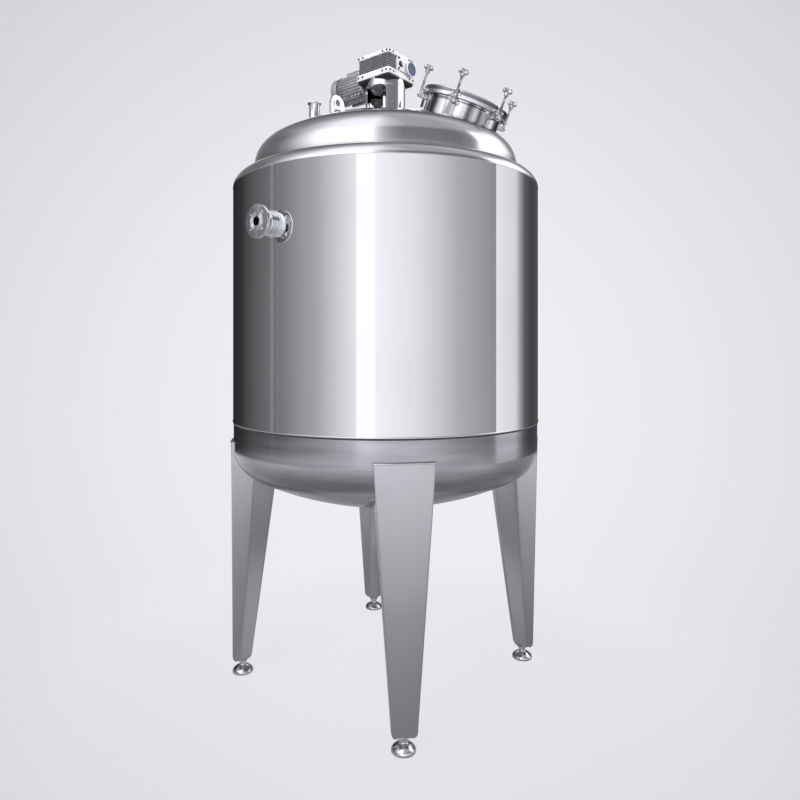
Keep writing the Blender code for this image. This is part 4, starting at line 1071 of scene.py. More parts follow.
    def build(self, vessel: Vessel) -> None:
        """Builds all of them, each with its weld.

        Args:
            vessel: The vessel that they sit on.
        """
        self.ferrule("outlet_spout", self.outlet, Matrix(), "bottom_outlet")
        self.ferrule("vent_spout", self.vent, VENT_FRAME, "vent_ferrule")
        self.build_nozzle(vessel)
        self.build_lugs(vessel)
        r = self.ferrule_r + 0.0007
        x, y = (circle(r, 120) + (VENT_R, 0.0)).T
        path = np.stack([x, y, vessel.top_z(np.hypot(x, y))], 1)
        weld("vent_weld", [bead(path, 0.0024, True, self.ripple)], spin(VENT_AZIMUTH))
        low = hoop(r, float(vessel.base_z(r)) - 0.0005, 120)
        weld("outlet_weld", [bead(low, 0.0024, True, self.ripple)])


# ---------------------------------------------------------------- the manway


VENT_AZIMUTH, VENT_R = -150.0, 0.410
VENT_FRAME = spin(VENT_AZIMUTH) @ shift(x=VENT_R)
# The neck's foot lies on the crown, whose radius is 1.3 m and whose top is at 2.7284 m
CROWN_R, CROWN_TOP, MANWAY_R = 1.3, 2.7284, 0.397
MANWAY_FRAME = (spin(-35.0)
                @ shift(x=MANWAY_R, z=CROWN_TOP - CROWN_R + math.sqrt(CROWN_R ** 2 - MANWAY_R ** 2))
                @ spin(22.3, "Y") @ spin(-16.0))
STATIONS = (0.0, 60.0, 120.0, 240.0, 300.0)


@dataclass
class Manway:
    """Tilted neck with brackets, gasket, dished lid with forks, hinge and swing bolts."""

    radius: float = 0.184
    wall: float = 0.006
    height: float = 0.070
    reach: float = 0.050
    rim_r: float = 0.192
    rim_t: float = 0.008
    seal: tuple[float, float, float] = (0.180, 0.192, 0.006)
    lid_under: float = 0.0766
    lid_t: float = 0.004
    lid_r: float = 0.207
    lid_skirt: float = 0.008
    ring_h: float = 0.028
    ring_inner: float = 0.178
    dish_r: float = 0.190
    dish_rise: float = 0.018
    fork_t: float = 0.006
    fork_half: float = 0.023
    slot_r: float = 0.011
    bolt_r: float = 0.222
    pivot_z: float = 0.050
    shank_r: float = 0.0060
    pitch: float = 1.75 * MM
    hinge_r: float = 0.240
    hinge_z: float = 0.092
    knob_z: float = 0.116
    knob_t: float = 0.018
    knob_r: float = 0.0212
    lobe: float = 0.16

    @property
    def lid_over(self) -> float:
        """Height of the lid's rim ring."""
        return self.lid_under + self.ring_h

    def stand(self, angle: float) -> Matrix:
        """The place of a swing bolt's pivot on the manway."""
        return spin(angle) @ shift(x=self.bolt_r, z=self.pivot_z)

    def build_neck(self) -> None:
        """The neck with its rolled rim, the pivot ears and pins, and the hinge's plates."""
        bore, low, upright = self.radius - self.wall, self.height - self.rim_t, spin(90.0, "X")
        grids = [lathe([(bore, -self.reach, 0.001), (self.radius, -self.reach, 0.001),
                        (self.radius, low - 0.006, 0.004), (self.rim_r, low, 0.002),
                        (self.rim_r, self.height, 0.0025), (bore, self.height, 0.002)], 192,
                       steps=6)]
        ear = polar(rounded([(-0.041, -0.010), (0.000, -0.0080, 0.004), (0.0085, -0.004, 0.004),
                             (0.0085, 0.005, 0.004), (0.000, 0.0085, 0.004), (-0.041, 0.0085)],
                            True, 6), 64)
        ends = [(circle(0.0065, 20), 0.0155), (circle(0.0065, 20), 0.0180),
                (circle(0.005, 20), 0.0192)]
        pin = [rod(circle(0.004, 20), -0.0185, 0.0185), loft(ends),
               loft([(ring, -z) for ring, z in ends[::-1]])]
        for angle in STATIONS:
            for side in (-0.0125, 0.0125):
                grids += around([slab(ear, -0.0022, 0.0022, 0.0008)],
                                [self.stand(angle) @ shift(y=side) @ upright])
            grids += around(pin, [self.stand(angle) @ upright])
        foot = self.height / 2.0 - self.hinge_z
        arm = [(0.059, foot), (0.059, foot + 0.016, 0.004), (0.016, foot + 0.016, 0.004)]
        arm += arc(0.016, *HALF_TURN, 13) + [(-0.016, foot, 0.004)]
        plate = slab(polar(rounded(arm, True, 5), 96), -0.004, 0.004, 0.001, circle(0.0056, 96))
        axis = shift(x=-self.hinge_r, z=self.hinge_z)
        grids += around([plate], [axis @ shift(y=side) @ upright for side in (-0.0295, 0.0295)])
        # The neck's darker and brighter colour bands are painted reflections
        piece("manway_neck", grids, NECK_PAINTED_REFLECTIONS, "manway_collar", MANWAY_FRAME)

    def build_weld(self, vessel: Vessel) -> None:
        """The weld round the neck's foot, where the neck's lines meet the top head.

        The height at which each line leaves the head is found by halving.

        Args:
            vessel: The vessel with its top head.
        """
        held = np.array(MANWAY_FRAME)
        low, high = np.full(360, -0.05), np.full(360, 0.07)
        ring = circle(self.radius + 0.001, 360)
        for _ in range(24):
            middle = (low + high) / 2.0
            world = np.column_stack([ring, middle]) @ held[:3, :3].T + held[:3, 3]
            over = world[:, 2] > vessel.top_z(np.hypot(world[:, 0], world[:, 1]))
            high, low = np.where(over, middle, high), np.where(over, low, middle)
        weld("manway_weld", [bead(np.column_stack([ring, high]), 0.0042, True, 0.10)],
             MANWAY_FRAME)

    def build_lid(self) -> None:
        """The dished cap on its thick rim ring with a turned-down edge, and five slotted forks.

        The cap is a part of a ball of radius (w^2 + h^2) / 2h for half width w and rise h. A
        fork is a strip between a half circle round its slot and the same line pushed out.
        """
        under, over = self.lid_under, self.lid_over
        rise, wide, t = self.dish_rise, self.dish_r, self.lid_t
        ball = (wide ** 2 + rise ** 2) / (2.0 * rise)
        a = np.linspace(0.0, math.asin(wide / ball), 28)
        top = np.stack([ball * np.sin(a), over + rise - ball * (1.0 - np.cos(a))], 1)
        a = np.linspace(0.0, math.asin(self.ring_inner / (ball - t)), 28)
        low = np.stack([(ball - t) * np.sin(a), over + rise - ball + (ball - t) * np.cos(a)], 1)
        skirt = under - self.lid_skirt
        edge = rounded([(wide, over), (self.lid_r, over, 0.005), (self.lid_r, skirt, 0.001),
                        (self.lid_r - t, skirt, 0.001), (self.lid_r - t, under, 0.0015),
                        (self.ring_inner, under, 0.001), (self.ring_inner, under + 0.004)],
                       False, 5)
        profile = np.concatenate([top[:-1], edge, low[:-1][::-1]])
        slot = np.linspace(-math.pi / 2.0, -1.5 * math.pi, 21)
        bend = self.slot_r * np.stack([np.cos(slot), np.sin(slot)], 1)
        root, tip, half = self.lid_r - 2.0 * t - self.bolt_r, 0.004, self.fork_half
        reach = np.clip(40.0 * bend, (root, -half), (tip, half))
        inner, outer = (np.concatenate([[[tip, -side]], line, [[tip, side]]])
                        for line, side in ((bend, self.slot_r), (reach, half)))
        fork = ribbon(inner, outer, under, under + self.fork_t)
        grids = [turned(profile, 192, loop=False)]
        grids += around([fork], [spin(s) @ shift(x=self.bolt_r) for s in STATIONS])
        piece("lid_dish", grids, BUFFED, "manway_lid", MANWAY_FRAME, "manway_lid")
        # The rim band's dark colour is a painted reflection
        band = box(self.lid_r - 0.001, self.lid_r + 0.0006, over - 0.006, under + 0.007)
        piece("lid_rim_band", [lathe(band, 192)], BAND_PAINTED_REFLECTION, "", MANWAY_FRAME, "manway_lid")
        weld("lid_seam", [bead(hoop(wide, over + 0.0004, 360), 0.0016)], MANWAY_FRAME,
             body="manway_lid")

    def build_hinge(self) -> None:
        """The hinge arm with its round knuckle, its pin with a head and a split pin."""
        axis = MANWAY_FRAME @ shift(x=-self.hinge_r, z=self.hinge_z) @ spin(90.0, "X")
        low = self.lid_over + SEAT - self.hinge_z
        high, face = low + 0.022, self.hinge_r - self.lid_r - SEAT
        line = [(face, 0.001, 0.002), (face, high, 0.004), (-0.014, high, 0.010)]
        line += arc(0.014, math.pi, 5.0 * math.pi / 3.0, 16)
        post = slab(polar(rounded(line, True, 6), 128), -0.020, 0.020, 0.0015,
                    circle(0.0053, 128))
        arm = slab(rectangle(0.021, 0.022, 0.005), -0.0194, 0.0194, 0.0012)
        arm = arm.moved(shift(x=0.0385, y=low + 0.011))
        piece("hinge_lever", [post, arm], BUFFED, "hinge_arm", axis, "manway_lid")
        head = loft([(circle(0.009, 24), 0.0342), (circle(0.009, 24), 0.0368),
                     (circle(0.0075, 24), 0.0378)])
        pin = rod(circle(0.005, 24), -0.0375, 0.0362)
        piece("hinge_bolt", [pin, head, bead(hoop(0.0075, -0.0355, 24), 0.0012)], TURNED,
              "hinge_pin", axis)

    def build_gasket(self) -> None:
        """The gasket: a moulded ring whose section is a rounded box."""
        inner, outer, tall = self.seal
        low = self.height + SEAT
        line = box(inner, outer, low, low + tall, *(0.0015,) * 4)
        piece("manway_seal", [lathe(line, 192, steps=5)], SILICONE, "manway_gasket",
              MANWAY_FRAME)

    def build_bolts(self) -> None:
        """Swing bolts: an eye, a threaded shank, a round hub and a star knob.

        The knob's outline is r = R (1 + 0.16 cos 6a), its flanks follow a half circle.
        """
        over = self.lid_under + self.fork_t - self.pivot_z
        under, top = self.knob_z, self.knob_z + self.knob_t
        eye = box(0.0044, 0.011, -0.007, 0.007, 0.0008, 0.0015, 0.0015, 0.0008)
        hub = [(0.0, under - 0.014), (0.0108, under - 0.014, 0.001), (0.0108, under + 0.003)]
        star = outline(self.knob_r * (1.0 + self.lobe * np.cos(6.0 * bearings(96))), 96)
        rings = [(star * (0.80 + 0.20 * math.cos(k)), (under + top) / 2.0
                  + self.knob_t / 2.0 * math.sin(k))
                 for k in np.linspace(-math.pi / 2.0, math.pi / 2.0, 13)]
        rings += [(circle(0.0085, 96), top - 0.0002), (circle(0.0070, 96), top - 0.0020)]
        grids = [lathe(eye, 40).moved(spin(90.0, "X")),
                 loft([(circle(0.0055, 24), 0.0095), (circle(self.shank_r, 24), 0.0120),
                       (circle(self.shank_r, 24), over - 0.004)]),
                 thread(self.shank_r, self.pitch, over - 0.005, under + 0.001),
                 lathe(hub, 40, False), loft(rings),
                 thread(self.shank_r - 0.0002, self.pitch, top - 0.003, top)]
        for number, angle in enumerate(STATIONS, 1):
            name = f"swing_bolt_{number}"
            piece(name + "_knob", grids, TUMBLED, name, MANWAY_FRAME @ self.stand(angle), name)

    def build(self, vessel: Vessel) -> None:
        """Builds all of it.

        Args:
            vessel: The vessel with its top head.
        """
        self.build_neck()
        self.build_weld(vessel)
        self.build_gasket()
        self.build_lid()
        self.build_hinge()
        self.build_bolts()


# ---------------------------------------------------------------- the drive


DRIVE_TURN = spin(135.0)


@dataclass
class Drive:
    """Pad, lantern, shaft seal, worm gearbox and motor on the tank's axis."""

    pad_r: float = 0.125
    pad_bore: float = 0.034
    pad_top: float = 2.744
    lantern_r: float = 0.101
    lantern_t: float = 0.009
    lantern_foot_r: float = 0.116
    top_z: float = 2.931
    sill: float = 0.022
    lintel: float = 0.040
    half_window: float = 41.0
    flare: float = 0.022
    nut_circle: float = 0.1085
    base_size: float = 0.208
    base_t: float = 0.030
    frame_size: float = 0.200
    body_size: float = 0.194
    body_h: float = 0.071
    gear_fins: int = 8
    boss_y: float = -0.064
    boss_t: float = 0.010
    lid_size: float = 0.202
    lid_t: float = 0.020
    motor_z: float = 2.953
    motor_r: float = 0.070
    motor_len: float = 0.155
    fins: int = 28
    fin_depth: float = 0.009
    hood_len: float = 0.052

    @property
    def body_z(self) -> float:
        """Height at which the gearbox's finned housing starts."""
        return self.top_z + self.base_t + SEAT

    @property
    def lid_z(self) -> float:
        """Height at which the gearbox's top plate starts."""
        return self.body_z + self.body_h + SEAT

    def build_pad(self, vessel: Vessel) -> None:
        """The machined pad and its weld.

        Args:
            vessel: The vessel with its top head.
        """
        head = float(vessel.top_z(self.pad_r))
        line = box(self.pad_bore, self.pad_r, head - 0.004, self.pad_top, 0.0, 0.0, 0.002, 0.001)
        piece("drive_pad_ring", [lathe(line, 160)], TURNED, "drive_pad")
        weld("drive_pad_weld", [bead(hoop(self.pad_r + 0.001, head + 0.001, 360), 0.0035, True,
                                     0.10)])

    def build_lantern(self) -> None:
        """The lantern: foot and head rings joined by two posts that flare into both, and nuts.

        A post spans the angles -h(z) to h(z), with h = h0 + g (1 - sqrt(1 - k^2)), where k runs
        from 0 to 1 over the last 22 mm at each end.
        """
        low, high = self.pad_top + SEAT, self.top_z - SEAT
        outer, inner, wide = self.lantern_r, self.lantern_r - self.lantern_t, self.lantern_foot_r
        foot = [(inner, low, 0.001), (wide, low, 0.001), (wide, low + 0.010, 0.0015),
                (outer, low + 0.010, 0.003), (outer, low + self.sill, 0.001),
                (inner, low + self.sill, 0.001)]
        head = [(inner, high - self.lintel, 0.001), (outer, high - self.lintel, 0.001),
                (outer, high - 0.0005, 0.0005), (inner, high, 0.0005)]
        z = np.linspace(low + self.sill - 0.001, high - self.lintel + 0.001, 41)
        near = np.minimum(z - z[0], z[-1] - z)
        k = np.clip(1.0 - near / self.flare, 0.0, 1.0)
        half = math.radians(90.0 - self.half_window) + 0.26 * (1.0 - np.sqrt(1.0 - k ** 2))
        a = half[:, None] * np.linspace(-1.0, 1.0, 33)[None, :]
        ring = np.concatenate([a, a[:, ::-1]], axis=1)
        r = np.concatenate([np.full_like(a, outer), np.full_like(a, inner)], axis=1)
        tall = np.broadcast_to(z[:, None], ring.shape)
        post = Grid(np.stack([r * np.cos(ring), r * np.sin(ring), tall], 2), True, False, True)
        grids = [lathe(foot, 128), lathe(head, 128)] + around([post], [spin(-45.0), spin(135.0)])
        piece("lantern_casting", grids, BUFFED, "drive_lantern")
        places = [spin(22.5 + 45.0 * i) @ shift(x=self.nut_circle, z=low + 0.010)
                  for i in range(8)]
        piece("lantern_nuts", around(screw(Head.NUT, 0.008), places), TUMBLED)

    def build_seal(self) -> None:
        """The shaft seal's stepped housing with its gland ring and four screws."""
        low, soft = self.pad_top + SEAT, 0.001
        steps = ((0.048, 0.0), (0.048, 0.014), (0.040, 0.016), (0.040, 0.040), (0.047, 0.042),
                 (0.047, 0.052), (0.034, 0.054), (0.034, 0.060), (0.026, 0.060))
        line = [(0.026, low)] + [(r, low + z, soft) for r, z in steps]
        piece("seal_housing", [lathe(line, 80)], TURNED, "shaft_seal")
        places = [spin(90.0 * i) @ shift(x=0.0405, z=low + 0.052) for i in range(4)]
        piece("seal_screws", around(screw(Head.SOCKET, 0.005), places), BLACK_STEEL)

    def build_gearbox(self) -> None:
        """The gearbox: two machined plates with a finned housing between.

        The housing's outline is a rounded square whose inset steps in and out with the height. Its
        core between the fins and a sheet under the foot plate are dark as painted shade, and the
        plates are near-white as painted highlight.
        """
        base, body, lid, turn = self.top_z, self.body_z, self.lid_z, DRIVE_TURN
        plate = rectangle(self.base_size, self.base_size, 0.010, 96)
        ring = slab(plate, base, base + self.base_t, 0.0018, circle(0.0205, 96))
        # The foot plate's near-white colour is a painted highlight
        piece("gearbox_foot_plate", [ring], MACHINED_PAINTED_HIGHLIGHT, "gearbox_base_plate", turn)
        # A dark sheet under the foot plate, as painted shade
        under = slab(rectangle(self.frame_size, self.frame_size, 0.008, 96), base - 0.011,
                     base - 0.0002, 0.0010, circle(0.094, 96))
        piece("gearbox_under_shade_sheet", [under], CAST_PAINTED_SHADE, "", turn)
        pitch = self.body_h / (2 * self.gear_fins + 1)
        wide = rectangle(self.body_size, self.body_size, 0.009, 96)
        core = rod(inset(wide, 0.006), body + 0.0002, body + self.body_h - 0.0002)
        plates = [slab(wide, body + pitch * (2 * i + 0.1), body + pitch * (2 * i + 0.9), 0.0008)
                  for i in range(self.gear_fins + 1)]
        # The core between the fins is dark as painted shade
        piece("gearbox_core", [core], CAST_PAINTED_SHADE, "gearbox_housing", turn)
        piece("gearbox_fins", plates, CAST_FINS, "", turn)
        self.build_boss()
        top, over = rectangle(self.lid_size, self.lid_size, 0.010, 96), lid + self.lid_t
        rings = [(inset(top, 0.0015), lid), (top, lid + 0.0015), (top, over - 0.002),
                 (inset(top, 0.002), over), (inset(top, 0.012), over),
                 (inset(top, 0.014), over - 0.003)]
        # The top plate's near-white colour is a painted highlight
        piece("gearbox_lid_plate", [loft(rings)], MACHINED_PAINTED_HIGHLIGHT, "gearbox_top_plate", turn)
        self.build_gear_screws()

    def side_on(self, y: float = 0.0, z: float = 0.0) -> Matrix:
        """A place near the middle of the gearbox's side with the boss, facing outwards."""
        middle = self.body_z + self.body_h / 2.0
        return shift(y=y, z=middle + z) @ spin(180.0) @ spin(90.0, "Y")

    def build_boss(self) -> None:
        """The plate on the gearbox's side with its capped boss and its port."""
        half, turn = self.body_size / 2.0, DRIVE_TURN
        face_on, side = self.side_on(), self.side_on(self.boss_y, -0.005)
        face = slab(rectangle(0.066, 0.130, 0.006, 64), half - 0.012, half + self.boss_t, 0.0015)
        barrel = lathe(box(0.0, 0.029, half, half + 0.0137, 0.0, 0.0, 0.001, 0.0), 64, False)
        # The boss plate's near-white colour is a painted highlight
        piece("boss_plate", [face.moved(face_on @ shift(y=0.029)), barrel.moved(side)],
              MACHINED_PAINTED_HIGHLIGHT, "", turn)
        cap = [(0.0, half + 0.0143), (0.0335, half + 0.0143, 0.001),
               (0.0335, half + 0.0215, 0.0015), (0.028, half + 0.0215, 0.001),
               (0.027, half + 0.0205, 0.001), (0.0, half + 0.0205)]
        piece("boss_cap", [lathe(cap, 64, False)], BLUE_PLASTIC, "gearbox_side_cap", turn @ side)
        # The cap rim's near-white colour is a painted highlight
        rim = box(0.0330, 0.0370, half + 0.0220, half + 0.0143, 0.0004, 0.0006, 0.0006, 0.0)
        piece("boss_cap_rim", [lathe(rim, 64, steps=3)], MACHINED_PAINTED_HIGHLIGHT, "", turn @ side)
        port = box(0.0, 0.0150, half + 0.0102, half + 0.0125, 0.0, 0.0005, 0.0005, 0.0)
        place = turn @ face_on @ shift(y=-0.012)
        piece("boss_port", [lathe(port, 40, False)], BLACK_STEEL, "", place)
        piece("boss_port_plug", around(screw(Head.SOCKET, 0.010), [place @ shift(z=half + 0.0115)]),
              TUMBLED)

    def build_gear_screws(self) -> None:
        """Bolts and plugs of both plates, screws of the boss, and the red breather."""
        near, base, lid, turn = self.base_size / 2.0 - 0.016, self.top_z, self.lid_z, DRIVE_TURN
        corners = [(near, near), (-near, near), (-near, -near), (near, -near)]
        top = [turn @ shift(x * 0.96, y * 0.96, lid + self.lid_t - 0.001) for x, y in corners]
        piece("gearbox_lid_screws", around(screw(Head.SOCKET, 0.008), top), BLACK_STEEL)
        under = [turn @ shift(x, y, base) @ spin(180.0, "X") for x, y in corners]
        piece("gearbox_foot_bolts", around(screw(Head.HEX, 0.010), under), TUMBLED)
        holes = [turn @ spin(90.0 * i) @ shift(x=edge / 2.0 - 0.0006, y=y, z=z) @ spin(90.0, "Y")
                 for edge, z in ((self.base_size, base + self.base_t / 2.0),
                                 (self.lid_size, lid + self.lid_t / 2.0))
                 for i in range(4) for y in (-0.090, -0.064, 0.064, 0.090)]
        stop = rod(circle(0.0055, 20), 0.0, 0.0011)
        piece("gearbox_side_plugs", around([stop], holes), BLACK_STEEL)
        spots = [turn @ self.side_on() @ shift(u, v, self.body_size / 2.0 + self.boss_t)
                 for u in (-0.026, 0.026) for v in (-0.029, 0.087)]
        piece("boss_screws", around(screw(Head.SOCKET, 0.006), spots), BLACK_STEEL)
        stem = [(0.0, 0.0), (0.0055, 0.0), (0.0055, 0.006, 0.001), (0.0, 0.007)]
        spot = (turn @ shift(-self.lid_size / 2.0 + 0.001, -0.081, lid + 0.008) @ spin(180.0)
                @ spin(90.0, "Y"))
        piece("gearbox_breather", [lathe(stem, 24, False)], RED_PLASTIC, "", spot)

    def build_motor(self) -> None:
        """The motor: flange, finned body and fan cover with a ringed grille.

        The body's outline is r = R - d clip(4 c - 1.2, 0, 1), where c falls from 1 at the middle
        between two fins to 0 on each fin's own middle.
        """
        along = DRIVE_TURN @ shift(z=self.motor_z) @ spin(90.0, "Y")
        start = self.base_size / 2.0 + SEAT
        flange = box(0.0, 0.072, start, start + 0.014, 0.0, 0.001, 0.002, 0.0)
        piece("motor_ring_flange", [lathe(flange, 96, False)], CAST, "motor_flange", along)
        low = start + 0.014 + SEAT
        count = self.fins * 12
        share = (bearings(count) * self.fins / FULL) % 1.0
        crest = np.clip(np.minimum(share, 1.0 - share) * 2.0, 0.0, 1.0)
        fins = outline(self.motor_r - self.fin_depth * np.clip((crest - 0.30) * 4.0, 0.0, 1.0),
                       count)
        high = low + self.motor_len
        rings = [(fins * 0.985, low), (fins, low + 0.002), (fins, high - 0.002),
                 (fins * 0.985, high)]
        piece("motor_finned_body", [loft(rings)], CAST, "motor_body", along)
        cover = high + SEAT
        end = cover + self.hood_len
        grille = []
        for r in np.linspace(0.056, 0.014, 8):
            grille += [(r, end), (r - 0.0002, end - 0.003), (r - 0.0025, end - 0.003),
                       (r - 0.0027, end)]
        hood = [(0.0, cover), (0.071, cover, 0.0005), (0.071, end - 0.010, 0.004),
                (0.061, end, 0.003)] + grille + [(0.0, end)]
        piece("motor_fan_hood", [lathe(hood, 96, False, 5)], CAST, "motor_fan_cover", along)
        # A dark ring as painted shadow in the gap between the motor's body and its fan cover
        gap = [(0.0690, cover - 0.003), (0.0712, cover - 0.003), (0.0714, cover + 0.002),
               (0.0690, cover + 0.002)]
        piece("motor_cover_gap", [lathe(gap, 96)], PAINTED_SHADOW_GAP, "", along)
        self.build_motor_fittings(low)

    def build_motor_fittings(self, low: float) -> None:
        """Two rails with screws under the motor, and the terminal box with its cable gland.

        Args:
            low: Distance from the tank's axis at which the motor's body starts.
        """
        rails = []
        for y in (-0.050, 0.050):
            seat = shift(x=low + 0.078, y=y)
            rails.append(slab(rectangle(0.140, 0.018, 0.003), self.motor_z - 0.067,
                              self.motor_z - 0.052, 0.0015).moved(seat))
            for x in (-0.055, 0.0, 0.055):
                head = seat @ shift(x, math.copysign(0.0085, y), self.motor_z - 0.0595)
                rails += around(screw(Head.HEX, 0.008),
                                [head @ spin(-math.copysign(90.0, y), "X")])
        piece("motor_rails", rails, TUMBLED, "", DRIVE_TURN)
        case = rectangle(0.085, 0.075, 0.008)
        floor, top = self.motor_z + self.motor_r - 0.020, self.motor_z + 0.075
        place = DRIVE_TURN @ shift(x=low + 0.0725)
        grids = [slab(case, floor, top - 0.007, 0.0015), slab(case, top - 0.0065, top, 0.0018)]
        piece("terminal_box_casting", grids, CAST, "motor_terminal_box", place)
        spots = [place @ shift(u, v, top - 0.0015)
                 for u in (-0.035, 0.035) for v in (-0.030, 0.030)]
        piece("terminal_box_screws", around(screw(Head.SOCKET, 0.004), spots), BLACK_STEEL)
        gland = [(0.0, 0.006), (0.010, 0.006), (0.0095, 0.014, 0.002), (0.0, 0.015)]
        side = place @ shift(y=-0.0372, z=(floor + top) / 2.0 + 0.002) @ spin(90.0, "X")
        piece("cable_gland", [rod(hexagon(0.022), 0.0, 0.006), lathe(gland, 24, False)],
              BLACK_STEEL, "", side)

    def build(self, vessel: Vessel) -> None:
        """Builds all of it.

        Args:
            vessel: The vessel with its top head.
        """
        self.build_pad(vessel)
        self.build_lantern()
        self.build_seal()
        self.build_gearbox()
        self.build_motor()


# ---------------------------------------------------------------- the studio


@dataclass
class Studio:
    """Floor, backdrop, glowing tent, lamp and camera.

    The tent's tables go by angles round the tank: 0 is the camera's side and plus is to the
    right. A row of panels holds a panel's two edges and its brightness at each. Rows of overhead,
    ceiling and ground_round hold an angle and a brightness, and rows of ground a radius and one.
    """

    camera_azimuth: float = -95.8
    distance: float = 3.29
    height: float = 1.615
    lens: float = 29.3
    shift_x: float = 0.018125
    shift_y: float = -0.07
    view_width: float = 1.23  # of the picture, at a distance of 1
    pale: str = "EFF0F4"
    grey: str = "D4D6DB"
    pale_facing: tuple[float, float] = (0.75, 1.0)
    floor_colour: str = "F6F7FA"
    floor_rings: tuple[float, ...] = (0.4, 1.0, 2.0, 3.0, 4.0)
    floor_fade: tuple[float, float] = (0.9, 2.2)
    floor_glow: float = 0.93
    floor_mirrored: float = 0.25
    lamp_watts: float = 120.0
    lamp_size: float = 3.0
    lamp_place: tuple[float, float, float] = (-35.0, 4.0, 5.0)  # angle, radius and height
    lamp_aim: float = 2.0
    tent_colour: str = "FCFCFF"
    wall_r: float = 7.0
    cloth_z: float = -0.010
    fade: tuple[float, float] = (4.2, 4.5)
    overhead_high: float = 7.0
    ceiling_z: float = 9.0
    ceiling_rings: tuple[float, ...] = (7.0, 5.5, 4.0, 3.0, 2.0, 1.0, 0.01)
    zenith: float = 0.60
    zenith_r: float = 3.5
    panels: Table = (
        (-180.0, -150.0, 0.30, 0.02), (-150.0, -124.0, 0.02, 0.045),
        (-124.0, -84.5, 0.045, 0.225), (-84.5, -82.5, 0.34, 0.34), (-82.5, -74.0, 0.23, 0.27),
        (-74.0, -46.0, 0.27, 0.55), (-46.0, -19.0, 0.55, 1.15), (-19.0, -6.5, 1.48, 1.48),
        (-6.5, 20.0, 1.32, 1.08), (20.0, 50.0, 1.08, 0.60), (50.0, 80.5, 0.60, 0.38),
        (80.5, 102.0, 1.14, 0.95), (102.0, 108.0, 0.95, 0.46), (108.0, 115.0, 0.46, 0.15),
        (115.0, 126.0, 0.15, 0.075), (126.0, 150.0, 0.075, 0.09), (150.0, 180.0, 0.09, 0.30),
    )
    overhead: Table = (
        (-180.0, 1.30), (-165.0, 1.00), (-150.0, 0.30), (-130.0, 0.20), (-100.0, 0.22),
        (-85.0, 0.45), (-70.0, 1.00), (-55.0, 1.70), (-12.0, 1.85), (-5.0, 0.90), (2.0, 0.50),
        (12.0, 0.28), (62.0, 0.24), (76.0, 0.40), (82.0, 1.80), (114.0, 1.80), (126.0, 0.90),
        (135.0, 0.35), (150.0, 0.30), (165.0, 0.90), (180.0, 1.30),
    )
    ceiling: Table = (
        (-180.0, 0.12), (-150.0, 0.18), (-100.0, 0.40), (-70.0, 0.90), (-50.0, 1.40),
        (-12.0, 1.50), (2.0, 0.90), (20.0, 0.55), (60.0, 0.50), (100.0, 0.70), (130.0, 0.35),
        (150.0, 0.18), (180.0, 0.12),
    )
    ground: Table = (
        (0.01, 0.42), (0.5, 0.36), (0.85, 0.18), (1.4, 0.29), (2.4, 0.62), (4.0, 0.90),
        (5.5, 0.98),
    )
    ground_round: Table = (
        (-180.0, 0.60), (-150.0, 0.75), (-100.0, 0.90), (-60.0, 1.00), (40.0, 1.00),
        (65.0, 0.90), (90.0, 0.60), (130.0, 0.50), (180.0, 0.60),
    )

    def spot(self, angle: float, radius: float, height: float) -> tuple[float, float, float]:
        """The point at an angle from the camera's side, a radius and a height."""
        a = math.radians(self.camera_azimuth + angle)
        return (radius * math.cos(a), radius * math.sin(a), height)

    def build_camera(self) -> None:
        """A level camera at the photograph's side, height and distance."""
        data = bpy.data.cameras.new("camera")
        data.lens, data.shift_x, data.shift_y = self.lens, self.shift_x, self.shift_y
        item = put("camera", data)
        item.location = self.spot(0.0, self.distance, self.height)
        turn = math.radians(self.camera_azimuth) + math.radians(90.0)
        item.rotation_euler = (math.radians(90.0), 0.0, turn)
        bpy.context.scene.camera = item

    def backdrop(self, tree: Tree, way: Socket) -> Socket:
        """The backdrop's colour in a direction: palest at the view's middle, greyer round it.

        Args:
            tree: The node tree that gets the nodes.
            way: The direction, of length 1.

        Returns:
            The socket of the colour.
        """
        ahead = np.array(self.spot(180.0, 1.0, 0.0))
        right = np.array([ahead[1], -ahead[0], 0.0])
        across, up = self.shift_x * self.view_width, self.shift_y * self.view_width
        middle = ahead + across * right + np.array([0.0, 0.0, up])
        middle /= np.linalg.norm(middle)
        facing = add_node(tree, "VectorMath", {0: way, 1: tuple(middle)},
                          operation="DOT_PRODUCT").outputs["Value"]
        return add_blend(tree, add_range(tree, facing, self.pale_facing), self.grey, self.pale)

    def build_world(self) -> None:
        """The pale backdrop: brighter round the middle of the view, greyer away from it."""
        world = bpy.data.worlds.new("backdrop")
        bpy.context.scene.world = world
        world.use_nodes = True
        tree = world.node_tree
        shader, place = tree.nodes["Background"].inputs, add_node(tree, "TexCoord")
        tree.links.new(self.backdrop(tree, place.outputs["Generated"]), shader["Color"])
        shader["Strength"].default_value = 1.0

